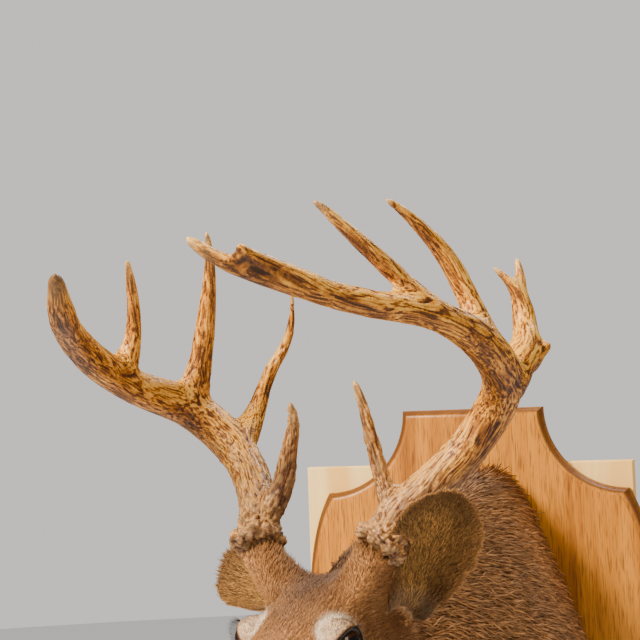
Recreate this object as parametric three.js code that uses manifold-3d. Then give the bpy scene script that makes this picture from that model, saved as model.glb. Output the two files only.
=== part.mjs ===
// A white-tailed deer shoulder mount: head and neck turned to the deer's right, on a walnut shield
// that is screwed to a pine backing board. Everything is in millimetres.
// Frame: +Z up, the wall is the plane Y = 0 and the deer looks out along -Y. The origin is the middle
// of the backing board's back face. +X is the deer's left.
import * as THREE from "three";
import { mergeVertices } from "three/addons/utils/BufferGeometryUtils.js";
import Module from "manifold-3d";

const wasm = await Module();
wasm.setup();

// ---------- driving sizes ----------

const GAP = 0.3; // between solids that touch
const FLESH_SIDES = 24;
const BEAM_SIDES = 12;
const TINE_SIDES = 8;

const BOARD = { width: 376, top: 188, bottom: -212, thick: 19, aside: -12, edge: 1.5 };
const SHIELD = {
  top: 250,
  bottom: -270,
  thick: 19,
  lip: 80, // half the width of the flat top
  shoulder: 171, // half the width where the top hollows end
  hollow: 92, // drop of the top hollows
  belly: 203, // half the greatest width
  foot: 140, // half the width where the bottom hollows start
  heel: 58, // half the width of the flat bottom
  footHollow: 84,
  edge: 8, // the moulded edge
};
const FACE_Y = -(BOARD.thick + SHIELD.thick + 2 * GAP); // where the coat meets the shield

const POLL = new THREE.Vector3(-62, -436, 133); // midway between the burrs
const HEAD_TURN = 13; // degrees, towards the deer's right
const HEAD_DIP = 15; // degrees, nose down
const BURR_FROM_NOSE = 262; // along the head's own axis
const BURR_OVER_NOSE = 78;
const HEAD_END = 300; // where the neck takes over

const EYE = { radius: 17.5, along: 203, height: 17, out: 42 };
const MOUTH = { corner: 92, height: -37, slope: 0.045 };
const NOSE_PAD = { depth: 13, height: -31 };
const PEDICLE = { radius: 19, foot: 24, drop: 62 };
const BURR = { radius: 25.5, thick: 13, hub: 19 };
const EAR_THICK = 4;

// ---------- solids from three.js geometry ----------

function solidOf(geometry) {
  const bare = geometry.index ? geometry.toNonIndexed() : geometry.clone();
  bare.deleteAttribute("normal");
  bare.deleteAttribute("uv");
  const merged = mergeVertices(bare, 1e-3);
  const made = new wasm.Manifold(
    new wasm.Mesh({
      numProp: 3,
      vertProperties: merged.attributes.position.array,
      triVerts: new Uint32Array(merged.index.array),
    }),
  );
  if (made.volume() > 0) return made;
  const turned = new Uint32Array(merged.index.array);
  for (let i = 0; i < turned.length; i += 3) {
    [turned[i + 1], turned[i + 2]] = [turned[i + 2], turned[i + 1]];
  }
  return new wasm.Manifold(
    new wasm.Mesh({ numProp: 3, vertProperties: merged.attributes.position.array, triVerts: turned }),
  );
}

function geometryOf(solid) {
  const mesh = solid.getMesh();
  const geometry = new THREE.BufferGeometry();
  geometry.setAttribute("position", new THREE.BufferAttribute(mesh.vertProperties, 3));
  geometry.setIndex(new THREE.BufferAttribute(mesh.triVerts, 1));
  geometry.computeVertexNormals();
  return geometry;
}

// A cylinder whose rings are laid out by place(share along, angle), from one flat end to the other.
function shapedCylinder(sides, rings, place) {
  const geometry = new THREE.CylinderGeometry(1, 1, 1, sides, rings);
  const position = geometry.attributes.position;
  for (let i = 0; i < position.count; i++) {
    const across = new THREE.Vector2(position.getX(i), position.getZ(i));
    const share = 0.5 - position.getY(i);
    const spot = place(share, across.angle(), Math.min(1, across.length()));
    position.setXYZ(i, spot.x, spot.y, spot.z);
  }
  return geometry;
}

function boxSolid(low, high) {
  const size = high.clone().sub(low);
  const middle = high.clone().add(low).multiplyScalar(0.5);
  const box = new THREE.BoxGeometry(size.x, size.y, size.z);
  return solidOf(box.translate(middle.x, middle.y, middle.z));
}

function smooth(x) {
  const t = THREE.MathUtils.clamp(x, 0, 1);
  return t * t * (3 - 2 * t);
}

// A smooth run through equal-length rows of numbers. share goes from 0 at the first to 1 at the last.
function between(rows, share) {
  const at = share * (rows.length - 1);
  const i = Math.min(Math.floor(at), rows.length - 2);
  const t = at - i;
  return rows[i].map((_, k) => {
    const [a, b, c, d] = [-1, 0, 1, 2].map(
      (n) => rows[THREE.MathUtils.clamp(i + n, 0, rows.length - 1)][k],
    );
    const bend = (2 * a - 5 * b + 4 * c - d) * t * t + (3 * b - a - 3 * c + d) * t ** 3;
    return b + 0.5 * ((c - a) * t + bend);
  });
}

// ---------- head, neck and shoulders, lofted through hoops ----------

// A hoop is [x, y, z of its middle, dip, turn, half height, half width above, half width below,
// fullness].
const ROUND = 2.15; // fullness: 2 is an ellipse, and more is squarer

function hoopPoint(hoop, angle, reach) {
  const [x, y, z, dip, turn, tall, above, below, full] = hoop;
  const up = Math.sign(Math.cos(angle)) * Math.abs(Math.cos(angle)) ** (2 / full);
  const side = Math.sign(Math.sin(angle)) * Math.abs(Math.sin(angle)) ** (2 / full);
  const wide = below + (above - below) * smooth(0.5 + 0.5 * up);
  return new THREE.Vector3(side * wide * reach, 0, up * tall * reach)
    .applyEuler(new THREE.Euler(THREE.MathUtils.degToRad(dip), 0, 0))
    .applyAxisAngle(new THREE.Vector3(0, 0, 1), THREE.MathUtils.degToRad(turn))
    .add(new THREE.Vector3(x, y, z));
}

function loft(hoops, rings, sides = FLESH_SIDES) {
  return shapedCylinder(sides, rings, (share, angle, reach) =>
    hoopPoint(between(hoops, share), angle, reach),
  );
}

// Places in the head: how far back from the nose, how high over it, and how far out to the left.
function inHead(along, height, out = 0) {
  return new THREE.Vector3(out, along - BURR_FROM_NOSE, height - BURR_OVER_NOSE);
}

const headPlace = new THREE.Matrix4()
  .makeTranslation(POLL)
  .multiply(new THREE.Matrix4().makeRotationZ(THREE.MathUtils.degToRad(-HEAD_TURN)))
  .multiply(new THREE.Matrix4().makeRotationX(THREE.MathUtils.degToRad(HEAD_DIP)));

// Sizes of the head with its coat on, from the nose back to the jaw's corner:
// along, top, bottom, half width above, half width below, fullness.
const HEAD_SIZES = [
  [0, -11, -37, 15, 12, 2.6],
  [5, -3, -51, 23, 19, 2.6],
  [20, 4, -60, 29, 24, 2.5],
  [45, 7, -64, 29, 26, 2.4],
  [85, 13, -71, 31, 29, 2.3],
  [122, 21, -81, 37, 33, 2.25],
  [155, 31, -93, 46, 37, 2.2],
  [182, 40, -104, 56, 41, 2.2],
  [208, 49, -113, 61, 44, 2.3],
  [238, 55, -121, 60, 48, 2.45],
  [270, 54, -127, 57, 54, 2.4],
  [HEAD_END, 44, -130, 58, 61, ROUND],
];

const headHoops = HEAD_SIZES.map(([along, top, bottom, above, below, full]) => {
  const middle = inHead(along, (top + bottom) / 2);
  return [middle.x, middle.y, middle.z, 0, 0, (top - bottom) / 2, above, below, full];
});

const HEAD_RINGS = 20;

function headEndHoop() {
  const [along, top, bottom, above, below, full] = HEAD_SIZES.at(-1);
  const middle = inHead(along + GAP, (top + bottom) / 2).applyMatrix4(headPlace);
  return [
    middle.x, middle.y, middle.z, HEAD_DIP, -HEAD_TURN, (top - bottom) / 2, above, below, full,
  ];
}

// From the shield to the head. The brisket swells under the second and third hoops.
const bodyHoops = [
  [15, FACE_Y, -24, 0, 0, 211, 66, 150, ROUND],
  [13, -95, -29, 0, 0, 210, 76, 157, ROUND],
  [7, -155, -20, 1, -2, 194, 82, 143, ROUND],
  [-5, -215, 0, 4, -5, 163, 82, 118, ROUND],
  [-20, -270, 18, 8, -8, 132, 76, 96, ROUND],
  [-34, -322, 29, 12, -11, 104, 67, 79, ROUND],
  headEndHoop(),
];

// The part of a run of hoops between two shares of it, for a loft of its own.
function stretch(hoops, from, to, count) {
  return Array.from({ length: count }, (_, i) =>
    between(hoops, from + ((to - from) * i) / (count - 1)),
  );
}

const COLLAR = 0.42; // share of the way to the head where shoulders end and neck begins
const THIN = 0.0012; // share of the way that leaves a gap
const shouldersSolid = solidOf(loft(stretch(bodyHoops, 0, COLLAR, 12), 11));
const neckSolid = solidOf(loft(stretch(bodyHoops, COLLAR + THIN, 1, 14), 13));

// ---------- the head's own pieces ----------

function eyeSolid(side, grow = 0) {
  const ball = new THREE.SphereGeometry(EYE.radius + grow, 16, 10);
  const spot = inHead(EYE.along, EYE.height, side * EYE.out);
  return solidOf(ball.translate(spot.x, spot.y, spot.z));
}

// The stump of bone under each burr, covered in hair.
function pedicleSolid(side) {
  const foot = inHead(BURR_FROM_NOSE - 4, BURR_OVER_NOSE - PEDICLE.drop, side * PEDICLE.foot);
  const top = burrSpot(side).applyAxisAngle(
    new THREE.Vector3(1, 0, 0),
    THREE.MathUtils.degToRad(-HEAD_DIP),
  );
  const way = top.clone().sub(foot);
  const end = top.clone().addScaledVector(way.clone().normalize(), -GAP);
  const stump = new THREE.CylinderGeometry(PEDICLE.radius, PEDICLE.radius + 13, end.distanceTo(foot), 14);
  stump.applyQuaternion(
    new THREE.Quaternion().setFromUnitVectors(new THREE.Vector3(0, 1, 0), way.normalize()),
  );
  const middle = end.add(foot).multiplyScalar(0.5);
  return solidOf(stump.translate(middle.x, middle.y, middle.z));
}

// Everything under the mouth line and in front of its corner.
function jawRegion(drop) {
  const front = -40;
  const outline = new THREE.Shape([
    new THREE.Vector2(front, MOUTH.height - drop),
    new THREE.Vector2(MOUTH.corner - drop, MOUTH.height - MOUTH.slope * MOUTH.corner - drop),
    new THREE.Vector2(MOUTH.corner + 34 - drop, -140),
    new THREE.Vector2(front, -140),
  ]);
  const block = new THREE.ExtrudeGeometry(outline, { depth: 160, bevelEnabled: false });
  block.translate(0, 0, -80);
  block.applyMatrix4(
    new THREE.Matrix4().makeBasis(
      new THREE.Vector3(0, 1, 0),
      new THREE.Vector3(0, 0, 1),
      new THREE.Vector3(1, 0, 0),
    ),
  );
  const zero = inHead(0, 0);
  return solidOf(block.translate(zero.x, zero.y, zero.z));
}

function noseRegion(back) {
  const low = inHead(-30, NOSE_PAD.height - back, -60);
  const high = inHead(NOSE_PAD.depth + back, 60, 60);
  return boxSolid(low, high);
}

function headPieces() {
  const whole = solidOf(loft(headHoops, HEAD_RINGS));
  const stumps = pedicleSolid(1).add(pedicleSolid(-1));
  const skull = whole.add(stumps);
  const sockets = eyeSolid(1, GAP).add(eyeSolid(-1, GAP));
  const bare = skull.subtract(sockets);
  const nose = bare.intersect(noseRegion(0));
  const jaw = bare.subtract(noseRegion(GAP)).intersect(jawRegion(GAP));
  const head = bare.subtract(noseRegion(GAP)).subtract(jawRegion(0));
  return { head, nose, jaw };
}

// ---------- ears ----------

// An ear runs from its root to its tip, with its cup open towards `opens`.
// All three are given as [out, ahead, up] from the point midway between the burrs.
const EARS = {
  left: { side: 1, root: [56, -62, -58], tip: [152, 36, 54], opens: [0.49, 0.87, -0.06] },
  right: { side: -1, root: [54, -60, -60], tip: [176, -112, -18], opens: [0.1, 0.85, 0.4] },
};
// Half the width across the rims and the angle each rim folds round, evenly spaced from root to tip.
const EAR_SHAPE = [
  [17, 120], [21, 108], [30, 92], [38, 78], [44, 66], [46, 58], [43, 52], [34, 48], [10, 44],
];

function earGeometry({ side, root, tip, opens }) {
  const foot = spotOf(side, root);
  const axis = spotOf(side, tip).sub(foot);
  const length = axis.length();
  axis.normalize();
  const front = spotOf(side, opens);
  front.addScaledVector(axis, -front.dot(axis)).normalize();
  const across = new THREE.Vector3().crossVectors(front, axis);
  return shapedCylinder(20, 11, (share, angle, reach) => {
    const along = Math.sin((share * Math.PI) / 2);
    const [half, degrees] = between(EAR_SHAPE, along);
    const fold = THREE.MathUtils.degToRad(degrees);
    const radius = half / Math.sin(Math.min(fold, Math.PI / 2));
    const outer = angle <= Math.PI;
    const turn = (outer ? angle / Math.PI : 2 - angle / Math.PI) * 2 - 1;
    const wall = outer ? 0 : Math.min(EAR_THICK, half * 0.5) * Math.sqrt(1 - turn ** 8);
    const bend = turn * fold;
    const from = reach * (radius - wall);
    const deep = radius * (0.8 - (1 - reach));
    return foot
      .clone()
      .addScaledVector(axis, length * along)
      .addScaledVector(across, from * Math.sin(bend))
      .addScaledVector(front, deep - from * Math.cos(bend));
  });
}

// ---------- antlers ----------

// [out, ahead, up] from the point midway between the burrs, in the level head.
function spotOf(side, [out, ahead, up]) {
  return new THREE.Vector3(side * out, -ahead, up);
}

const ANTLERS = {
  left: {
    side: 1,
    beam: [
      [60, 4, 0], [84, -21, 38], [124, -48, 81], [162, -41, 129], [182, 24, 163],
      [170, 90, 190], [136, 158, 201], [97, 225, 219], [70, 250, 232], [49, 267, 251],
    ],
    radii: [20, 17.5, 17.5, 18, 17.5, 15.5, 12.5, 11.2, 10.2, 8, 4.5],
    cuts: [0.33, 0.66],
    tines: {
      brow: {
        leaves: 0.05,
        radii: [13, 8.5, 7.5, 6.5, 5, 3],
        route: [[58, -11, 67], [52, -6, 102], [46, -2, 133], [42, 4, 150]],
      },
      second: {
        leaves: 0.35,
        radii: [22, 17, 13.5, 11.5, 9.5, 5, 2.8],
        route: [
          [175, -44, 152], [180, -57, 169], [173, -75, 190], [171, -75, 208], [169, -71, 219],
          [159, -63, 233], [150, -56, 243],
        ],
        forks: [
          { radii: [7.5, 5.5, 3.2], route: [[171, -74, 206], [168, -81, 234], [164, -83, 252]] },
          { radii: [13, 8.5, 4], route: [[180, -56, 156], [190, -66, 166], [199, -72, 172]] },
        ],
      },
      third: {
        leaves: 0.475,
        radii: [17, 10.5, 9.5, 8, 5.5, 3],
        route: [[167, 34, 212], [156, 50, 244], [144, 72, 267], [136, 87, 279], [128, 102, 288]],
      },
      fourth: {
        leaves: 0.61,
        radii: [15, 9, 8, 7, 5.5, 3],
        route: [[152, 117, 217], [137, 142, 241], [122, 163, 262], [115, 174, 273], [108, 184, 280]],
      },
      fifth: { leaves: 0.78, radii: [11, 8.5, 4], route: [[97, 233, 229], [88, 257, 241]] },
    },
  },
  right: {
    side: -1,
    beam: [
      [60, 4, 0], [76, -24, 38], [113, -52, 82], [158, -43, 125], [183, 21, 150],
      [184, 77, 174], [163, 132, 193], [118, 200, 209], [94, 236, 236],
    ],
    radii: [20, 17.5, 18, 19.5, 18.5, 16, 15.5, 14, 12.5, 11.5, 6],
    cuts: [0.3, 0.62],
    tines: {
      brow: {
        leaves: 0.04,
        radii: [15, 11.5, 10, 8, 6, 3],
        route: [[48, -19, 49], [36, -16, 85], [29, -14, 112], [26, -1, 132]],
      },
      second: {
        leaves: 0.24,
        radii: [20, 14, 8.5, 7, 5.5, 3.5, 2.5],
        route: [[118, -86, 115], [100, -90, 159], [82, -99, 193], [74, -94, 229], [70, -85, 248]],
      },
      third: {
        leaves: 0.36,
        radii: [20, 12.5, 10.5, 8, 5.5, 3],
        route: [[150, -43, 164], [140, -40, 202], [127, -31, 248], [117, -17, 277], [113, -6, 296]],
      },
      fourth: {
        leaves: 0.53,
        radii: [17, 9.5, 7, 5.5, 3],
        route: [[175, 30, 187], [167, 36, 219], [159, 51, 246], [150, 68, 265]],
      },
    },
  },
};

const TIP_ROUND = 0.025; // share of a beam or tine over which its end rounds off

function roundEnd(share, width) {
  const past = THREE.MathUtils.clamp((share - 1 + width) / width, 0, 1);
  return Math.sqrt(Math.max(0.02, 1 - past * past));
}

// A radius read from a list spread evenly along a beam or tine, rounded off at its tip.
function radiusOf(radii) {
  const rows = radii.map((radius) => [radius]);
  return (share) => between(rows, share)[0] * roundEnd(share, TIP_ROUND);
}

const FRAMES = 60; // along a curve, to keep a tube from twisting

// Rings lie closer together towards a rounded tip.
function closer(share) {
  return 0.4 * share + 0.6 * Math.sin((share * Math.PI) / 2);
}

function tube(curve, radiusAt, from, to, rings, sides) {
  const frames = curve.computeFrenetFrames(FRAMES, false);
  return shapedCylinder(sides, rings, (share, angle, reach) => {
    const at = from + (to - from) * (to === 1 ? closer(share) : share);
    const tangent = curve.getTangentAt(at);
    const near = frames.normals[Math.round(at * FRAMES)];
    const normal = near.clone().addScaledVector(tangent, -tangent.dot(near)).normalize();
    const binormal = new THREE.Vector3().crossVectors(tangent, normal);
    const radius = radiusAt(at) * reach;
    return curve
      .getPointAt(at)
      .addScaledVector(normal, radius * Math.cos(angle))
      .addScaledVector(binormal, radius * Math.sin(angle));
  });
}

function curveOf(side, route) {
  return new THREE.CatmullRomCurve3(route.map((spot) => spotOf(side, spot)), false, "centripetal");
}

function burrSpot(side) {
  return spotOf(side, ANTLERS.left.beam[0]);
}

// The knobbly ring round the foot of the beam.
function burrSolid(side, beam) {
  const { radius, thick, hub } = BURR;
  const profile = [
    [0, 0], [hub - 1, 0], [radius - 3, 2], [radius, thick * 0.42], [radius - 2, thick * 0.8],
    [hub, thick], [0, thick],
  ];
  const ring = new THREE.LatheGeometry(profile.map(([r, h]) => new THREE.Vector2(r, h)), 16);
  ring.applyQuaternion(
    new THREE.Quaternion().setFromUnitVectors(new THREE.Vector3(0, 1, 0), beam.getTangentAt(0)),
  );
  const foot = burrSpot(side);
  return solidOf(ring.translate(foot.x, foot.y, foot.z));
}

function tineSolid(side, beam, tine) {
  const start = beam.getPointAt(tine.leaves);
  const route = [start, ...tine.route.map((spot) => spotOf(side, spot))];
  const curve = new THREE.CatmullRomCurve3(route, false, "centripetal");
  let solid = solidOf(tube(curve, radiusOf(tine.radii), 0, 1, 10, TINE_SIDES));
  for (const fork of tine.forks ?? []) {
    const prong = curveOf(side, fork.route);
    solid = solid.add(solidOf(tube(prong, radiusOf(fork.radii), 0, 1, 5, TINE_SIDES)));
  }
  return solid;
}

// One antler, split at its main forks: the burr, three lengths of beam and each tine.
function antlerPieces(name, { side, beam: route, radii, cuts, tines }) {
  const radiusAt = radiusOf(radii);
  const beam = curveOf(side, route);
  const length = beam.getLength();
  const burr = burrSolid(side, beam);
  const bounds = [BURR.thick / length, ...cuts, 1];
  const names = ["lower", "middle", "upper"];
  const pieces = { [`antler_${name}_burr`]: burr };
  let taken = burrClear(side, beam);
  names.forEach((part, i) => {
    const run = (from, to, grow) =>
      solidOf(tube(beam, (s) => radiusAt(s) + grow, from, to, 9, BEAM_SIDES));
    const from = bounds[i] + GAP / length;
    const piece = run(from, bounds[i + 1], 0);
    pieces[`antler_${name}_beam_${part}`] = piece.trimByPlane(
      beam.getTangentAt(0).toArray(),
      beam.getTangentAt(0).dot(beam.getPointAt(0)) + BURR.thick + GAP,
    );
    taken = taken.add(run(from - GAP / length, bounds[i + 1], 2 * GAP));
  });
  for (const [label, tine] of Object.entries(tines)) {
    const free = tineSolid(side, beam, tine).subtract(taken);
    pieces[`antler_${name}_tine_${label}`] = largest(free);
  }
  return { pieces, taken };
}

// The space that the burr takes, with a gap all round, so that nothing enters it.
function burrClear(side, beam) {
  const ring = new THREE.CylinderGeometry(BURR.radius + 1, BURR.radius + 1, BURR.thick + 4 * GAP, 20);
  ring.translate(0, BURR.thick / 2, 0);
  ring.applyQuaternion(
    new THREE.Quaternion().setFromUnitVectors(new THREE.Vector3(0, 1, 0), beam.getTangentAt(0)),
  );
  const foot = burrSpot(side);
  return solidOf(ring.translate(foot.x, foot.y, foot.z));
}

function largest(solid) {
  return solid.decompose().sort((a, b) => b.volume() - a.volume())[0];
}

// ---------- the shield and the board behind it ----------

function shieldSolid() {
  const s = SHIELD;
  const inset = s.edge;
  const half = new THREE.Path();
  half.moveTo(0, s.top);
  half.lineTo(s.lip, s.top);
  half.absellipse(s.shoulder, s.top, s.shoulder - s.lip, s.hollow, Math.PI, 1.5 * Math.PI, false);
  const pull = s.belly + 8; // the side's handles lie outside its widest point
  half.bezierCurveTo(
    pull, s.top - s.hollow - 70, pull, -70, s.foot, s.bottom + s.footHollow,
  );
  half.absellipse(s.foot, s.bottom, s.foot - s.heel, s.footHollow, 0.5 * Math.PI, Math.PI, false);
  half.lineTo(0, s.bottom);
  const right = half.getPoints(7);
  const left = right.slice(1, -1).reverse().map((p) => new THREE.Vector2(-p.x, p.y));
  const outline = new THREE.Shape([...right, ...left]);
  const depth = s.thick - inset;
  const slab = new THREE.ExtrudeGeometry(outline, {
    depth,
    bevelThickness: inset,
    bevelSize: inset,
    bevelOffset: -inset,
    bevelSegments: 2,
  });
  // The outline is drawn in X and Z, and the slab grows out of the board along -Y.
  slab.rotateX(Math.PI / 2);
  slab.translate(0, -BOARD.thick - GAP, 0);
  const front = boxSolid(
    new THREE.Vector3(-400, -BOARD.thick - GAP - s.thick - 1, -400),
    new THREE.Vector3(400, -BOARD.thick - GAP, 400),
  );
  return solidOf(slab).intersect(front);
}

function boardSolid() {
  const { width, top, bottom, thick, aside, edge } = BOARD;
  const half = width / 2 - edge;
  const outline = new THREE.Shape([
    new THREE.Vector2(aside - half, bottom + edge),
    new THREE.Vector2(aside + half, bottom + edge),
    new THREE.Vector2(aside + half, top - edge),
    new THREE.Vector2(aside - half, top - edge),
  ]);
  const slab = new THREE.ExtrudeGeometry(outline, {
    depth: thick - 2 * edge,
    bevelThickness: edge,
    bevelSize: edge,
    bevelSegments: 1,
  });
  return solidOf(slab.rotateX(Math.PI / 2).translate(0, -edge, 0));
}

// ---------- the scene graph ----------

const paint = {
  pine: new THREE.MeshStandardMaterial({ color: 0xe3c08a, roughness: 0.65, metalness: 0 }),
  walnut: new THREE.MeshStandardMaterial({ color: 0x9a5f2a, roughness: 0.4, metalness: 0 }),
  coat: new THREE.MeshStandardMaterial({ color: 0x7a5636, roughness: 0.9, metalness: 0 }),
  antler: new THREE.MeshStandardMaterial({ color: 0x9c6a30, roughness: 0.5, metalness: 0 }),
  nose: new THREE.MeshStandardMaterial({ color: 0x17120f, roughness: 0.35, metalness: 0 }),
  eye: new THREE.MeshStandardMaterial({ color: 0x1e0f07, roughness: 0.05, metalness: 0 }),
};

function named(name, solid, material) {
  const mesh = new THREE.Mesh(geometryOf(solid), material);
  mesh.name = name;
  return mesh;
}

const mount = new THREE.Group();
mount.add(named("backing_board", boardSolid(), paint.pine));
mount.add(named("shield", shieldSolid(), paint.walnut));
mount.add(named("shoulders", shouldersSolid, paint.coat));

// The level head turns on the neck, and the skull dips inside it. The antlers are laid out in the
// level head.
const levelHead = new THREE.Group();
levelHead.position.copy(POLL);
levelHead.rotation.z = THREE.MathUtils.degToRad(-HEAD_TURN);
const skull = new THREE.Group();
skull.rotation.x = THREE.MathUtils.degToRad(HEAD_DIP);
levelHead.add(skull);
mount.add(levelHead);

// Solids of the level head, moved to where a neighbour outside it is, or into the dipped skull.
const skullMatrix = new THREE.Matrix4().makeRotationX(skull.rotation.x);
const levelMatrix = headPlace.clone().multiply(skullMatrix.clone().invert());

function movedBy(solid, matrix) {
  return solid.transform(matrix.elements);
}

const { head, nose, jaw } = headPieces();
const antlers = [antlerPieces("left", ANTLERS.left), antlerPieces("right", ANTLERS.right)];
const taken = antlers[0].taken.add(antlers[1].taken);
for (const { pieces } of antlers) {
  for (const [name, solid] of Object.entries(pieces)) levelHead.add(named(name, solid, paint.antler));
}

// Each ear stops where it meets the head, the neck or an antler, which keep their own outline.
function grown(hoops, by) {
  return hoops.map(([x, y, z, dip, turn, tall, above, below, full]) => [
    x, y, z, dip, turn, tall + by, above + by, below + by, full,
  ]);
}
const fatHead = solidOf(loft(grown(headHoops, GAP), HEAD_RINGS))
  .add(pedicleSolid(1))
  .add(pedicleSolid(-1));
const fatNeck = solidOf(loft(grown(stretch(bodyHoops, COLLAR, 1, 14), GAP), 13));
for (const [side, ear] of Object.entries(EARS)) {
  const free = solidOf(earGeometry(ear))
    .subtract(movedBy(fatHead, skullMatrix))
    .subtract(movedBy(fatNeck, levelMatrix.clone().invert()))
    .subtract(taken);
  levelHead.add(named(`ear_${side}`, largest(free), paint.coat));
}

const bareHead = head.subtract(movedBy(taken, skullMatrix.clone().invert()));
mount.add(named("neck", neckSolid, paint.coat));
skull.add(named("head", bareHead, paint.coat));
skull.add(named("nose", nose, paint.nose));
skull.add(named("lower_jaw", jaw, paint.coat));
skull.add(named("eye_left", eyeSolid(1), paint.eye));
skull.add(named("eye_right", eyeSolid(-1), paint.eye));

export default mount;
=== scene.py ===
# %% [markdown]
# # A white-tailed deer shoulder mount
# A buck's head, neck and shoulders hang on a walnut shield, with a pale pine board between the shield
# and the wall. The antlers come first, because they are what the eye goes to: old bone, grooved along
# its length, pearled near the burr and polished pale at the tips. Then come the boards, the skin, the
# eyes and the coat.
#
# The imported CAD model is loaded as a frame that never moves. Every piece is built in the same place and
# at the same size, in metres, with +Z up and the wall behind the object at Y = 0.

# %% Load the frame
import heapq
import math

import bpy
import numpy as np
from mathutils import Matrix, Vector, noise
from mathutils.bvhtree import BVHTree
from mathutils.kdtree import KDTree


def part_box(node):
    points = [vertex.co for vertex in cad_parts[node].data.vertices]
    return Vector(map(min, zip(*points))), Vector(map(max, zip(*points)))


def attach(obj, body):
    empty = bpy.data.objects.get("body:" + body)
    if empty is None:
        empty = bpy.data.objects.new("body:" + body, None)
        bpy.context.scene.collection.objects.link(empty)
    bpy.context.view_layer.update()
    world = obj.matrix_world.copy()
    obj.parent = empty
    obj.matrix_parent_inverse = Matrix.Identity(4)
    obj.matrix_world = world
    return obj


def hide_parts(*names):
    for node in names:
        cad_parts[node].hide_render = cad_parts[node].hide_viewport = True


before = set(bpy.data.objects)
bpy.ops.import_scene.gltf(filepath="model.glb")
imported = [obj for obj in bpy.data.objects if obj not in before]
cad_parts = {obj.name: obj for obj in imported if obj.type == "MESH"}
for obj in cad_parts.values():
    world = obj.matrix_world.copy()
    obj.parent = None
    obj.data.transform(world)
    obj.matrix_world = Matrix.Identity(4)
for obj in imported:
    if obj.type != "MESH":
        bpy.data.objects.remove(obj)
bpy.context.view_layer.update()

rng = np.random.default_rng(7)
MM = 0.001

# %% [markdown]
# ## The camera
# The mount hangs a little above eye level and is seen from its left front with a short telephoto lens, so
# the camera is placed at a given spot and turned in three steps: round to the left, up a little, and tipped
# by two degrees, as a hand-held camera is. A lens of 85 mm keeps the antlers from looking stretched.

# %% Place the camera
bpy.ops.object.camera_add(location=(0.33127, -1.71692, 0.25197))
camera = bpy.context.object
camera.rotation_mode = "QUATERNION"
turn = Matrix.Rotation(math.radians(16.7), 3, "Z")
raise_up = Matrix.Rotation(math.radians(93.5), 3, "X")
tip_over = Matrix.Rotation(math.radians(-2.0), 3, "Z")
camera.rotation_quaternion = (turn @ raise_up @ tip_over).to_quaternion()
camera.data.lens = 85
camera.data.sensor_width = 36
bpy.context.scene.camera = camera
print("camera looks along", -(turn @ raise_up).col[2])

# %% [markdown]
# ## A soft studio
# A lamp on the upper left gives the antlers their shape, a weaker one on the right opens the shadows, and
# one above and behind draws a thin bright line along every edge. The floor and the sky are both pale and
# plain, so nothing competes with the bone and the hair. The floor glows a little, as a lit paper sweep
# does, and the sky looks brighter than it shines, which keeps the shadows deep and the colours full.

# %% Lights, sky and floor
def soft_lamp(name, place, aim, size, power, colour):
    way = Vector(aim) - Vector(place)
    bpy.ops.object.light_add(type="AREA", location=place)
    lamp = bpy.context.object
    lamp.name = name
    lamp.rotation_euler = way.to_track_quat("-Z", "Y").to_euler()
    lamp.data.size = size
    lamp.data.energy = power
    lamp.data.color = colour
    return lamp


middle = (-0.03, -0.4, 0.15)
soft_lamp("key", (-1.6, -2.1, 1.9), middle, 0.8, 245, (1.0, 0.87, 0.69))
soft_lamp("fill", (1.5, -2.0, 1.3), middle, 1.1, 22, (1.0, 0.90, 0.76))
soft_lamp("edge", (0.5, 0.9, 1.9), middle, 1.0, 45, (1.0, 0.95, 0.88))

sky = bpy.data.worlds.new("pale sky")
sky.use_nodes = True
background = sky.node_tree.nodes["Background"].inputs
background["Color"].default_value = (0.93, 0.90, 0.86, 1)
seen = sky.node_tree.nodes.new("ShaderNodeLightPath")
strength = sky.node_tree.nodes.new("ShaderNodeMapRange")
strength.inputs["To Min"].default_value = 0.16  # as a light
strength.inputs["To Max"].default_value = 0.85  # as a backdrop
sky.node_tree.links.new(seen.outputs["Is Camera Ray"], strength.inputs["Value"])
sky.node_tree.links.new(strength.outputs["Result"], background["Strength"])
bpy.context.scene.world = sky

bpy.ops.mesh.primitive_circle_add(vertices=96, radius=9, fill_type="NGON", location=(0, -0.4, -1.1))
floor = bpy.context.object
floor.name = "floor"
floor_paint = bpy.data.materials.new("floor paint")
floor_paint.use_nodes = True
paint = floor_paint.node_tree.nodes["Principled BSDF"].inputs
paint["Base Color"].default_value = (0.72, 0.72, 0.71, 1)
paint["Roughness"].default_value = 0.9
paint["Emission Color"].default_value = (1, 0.98, 0.95, 1)
paint["Emission Strength"].default_value = 0.42
floor.data.materials.append(floor_paint)
print("studio ready")

# %% [markdown]
# ## Working with meshes in bulk
# An antler or a skin has tens of thousands of points, so a few short helpers read and write them all at
# once as arrays. The last one evens out any value over the surface by mixing each point with its
# neighbours, which is how most of the soft transitions below are made.

# %% Helpers for objects
def only(*objects):
    bpy.ops.object.select_all(action="DESELECT")
    for item in objects:
        item.select_set(True)
    bpy.context.view_layer.objects.active = objects[0]
    return objects[0]


def with_modifier(item, kind, **settings):
    only(item)
    modifier = item.modifiers.new(kind.title(), kind)
    for key, value in settings.items():
        setattr(modifier, key, value)
    bpy.ops.object.modifier_apply(modifier=modifier.name)
    return item


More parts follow.
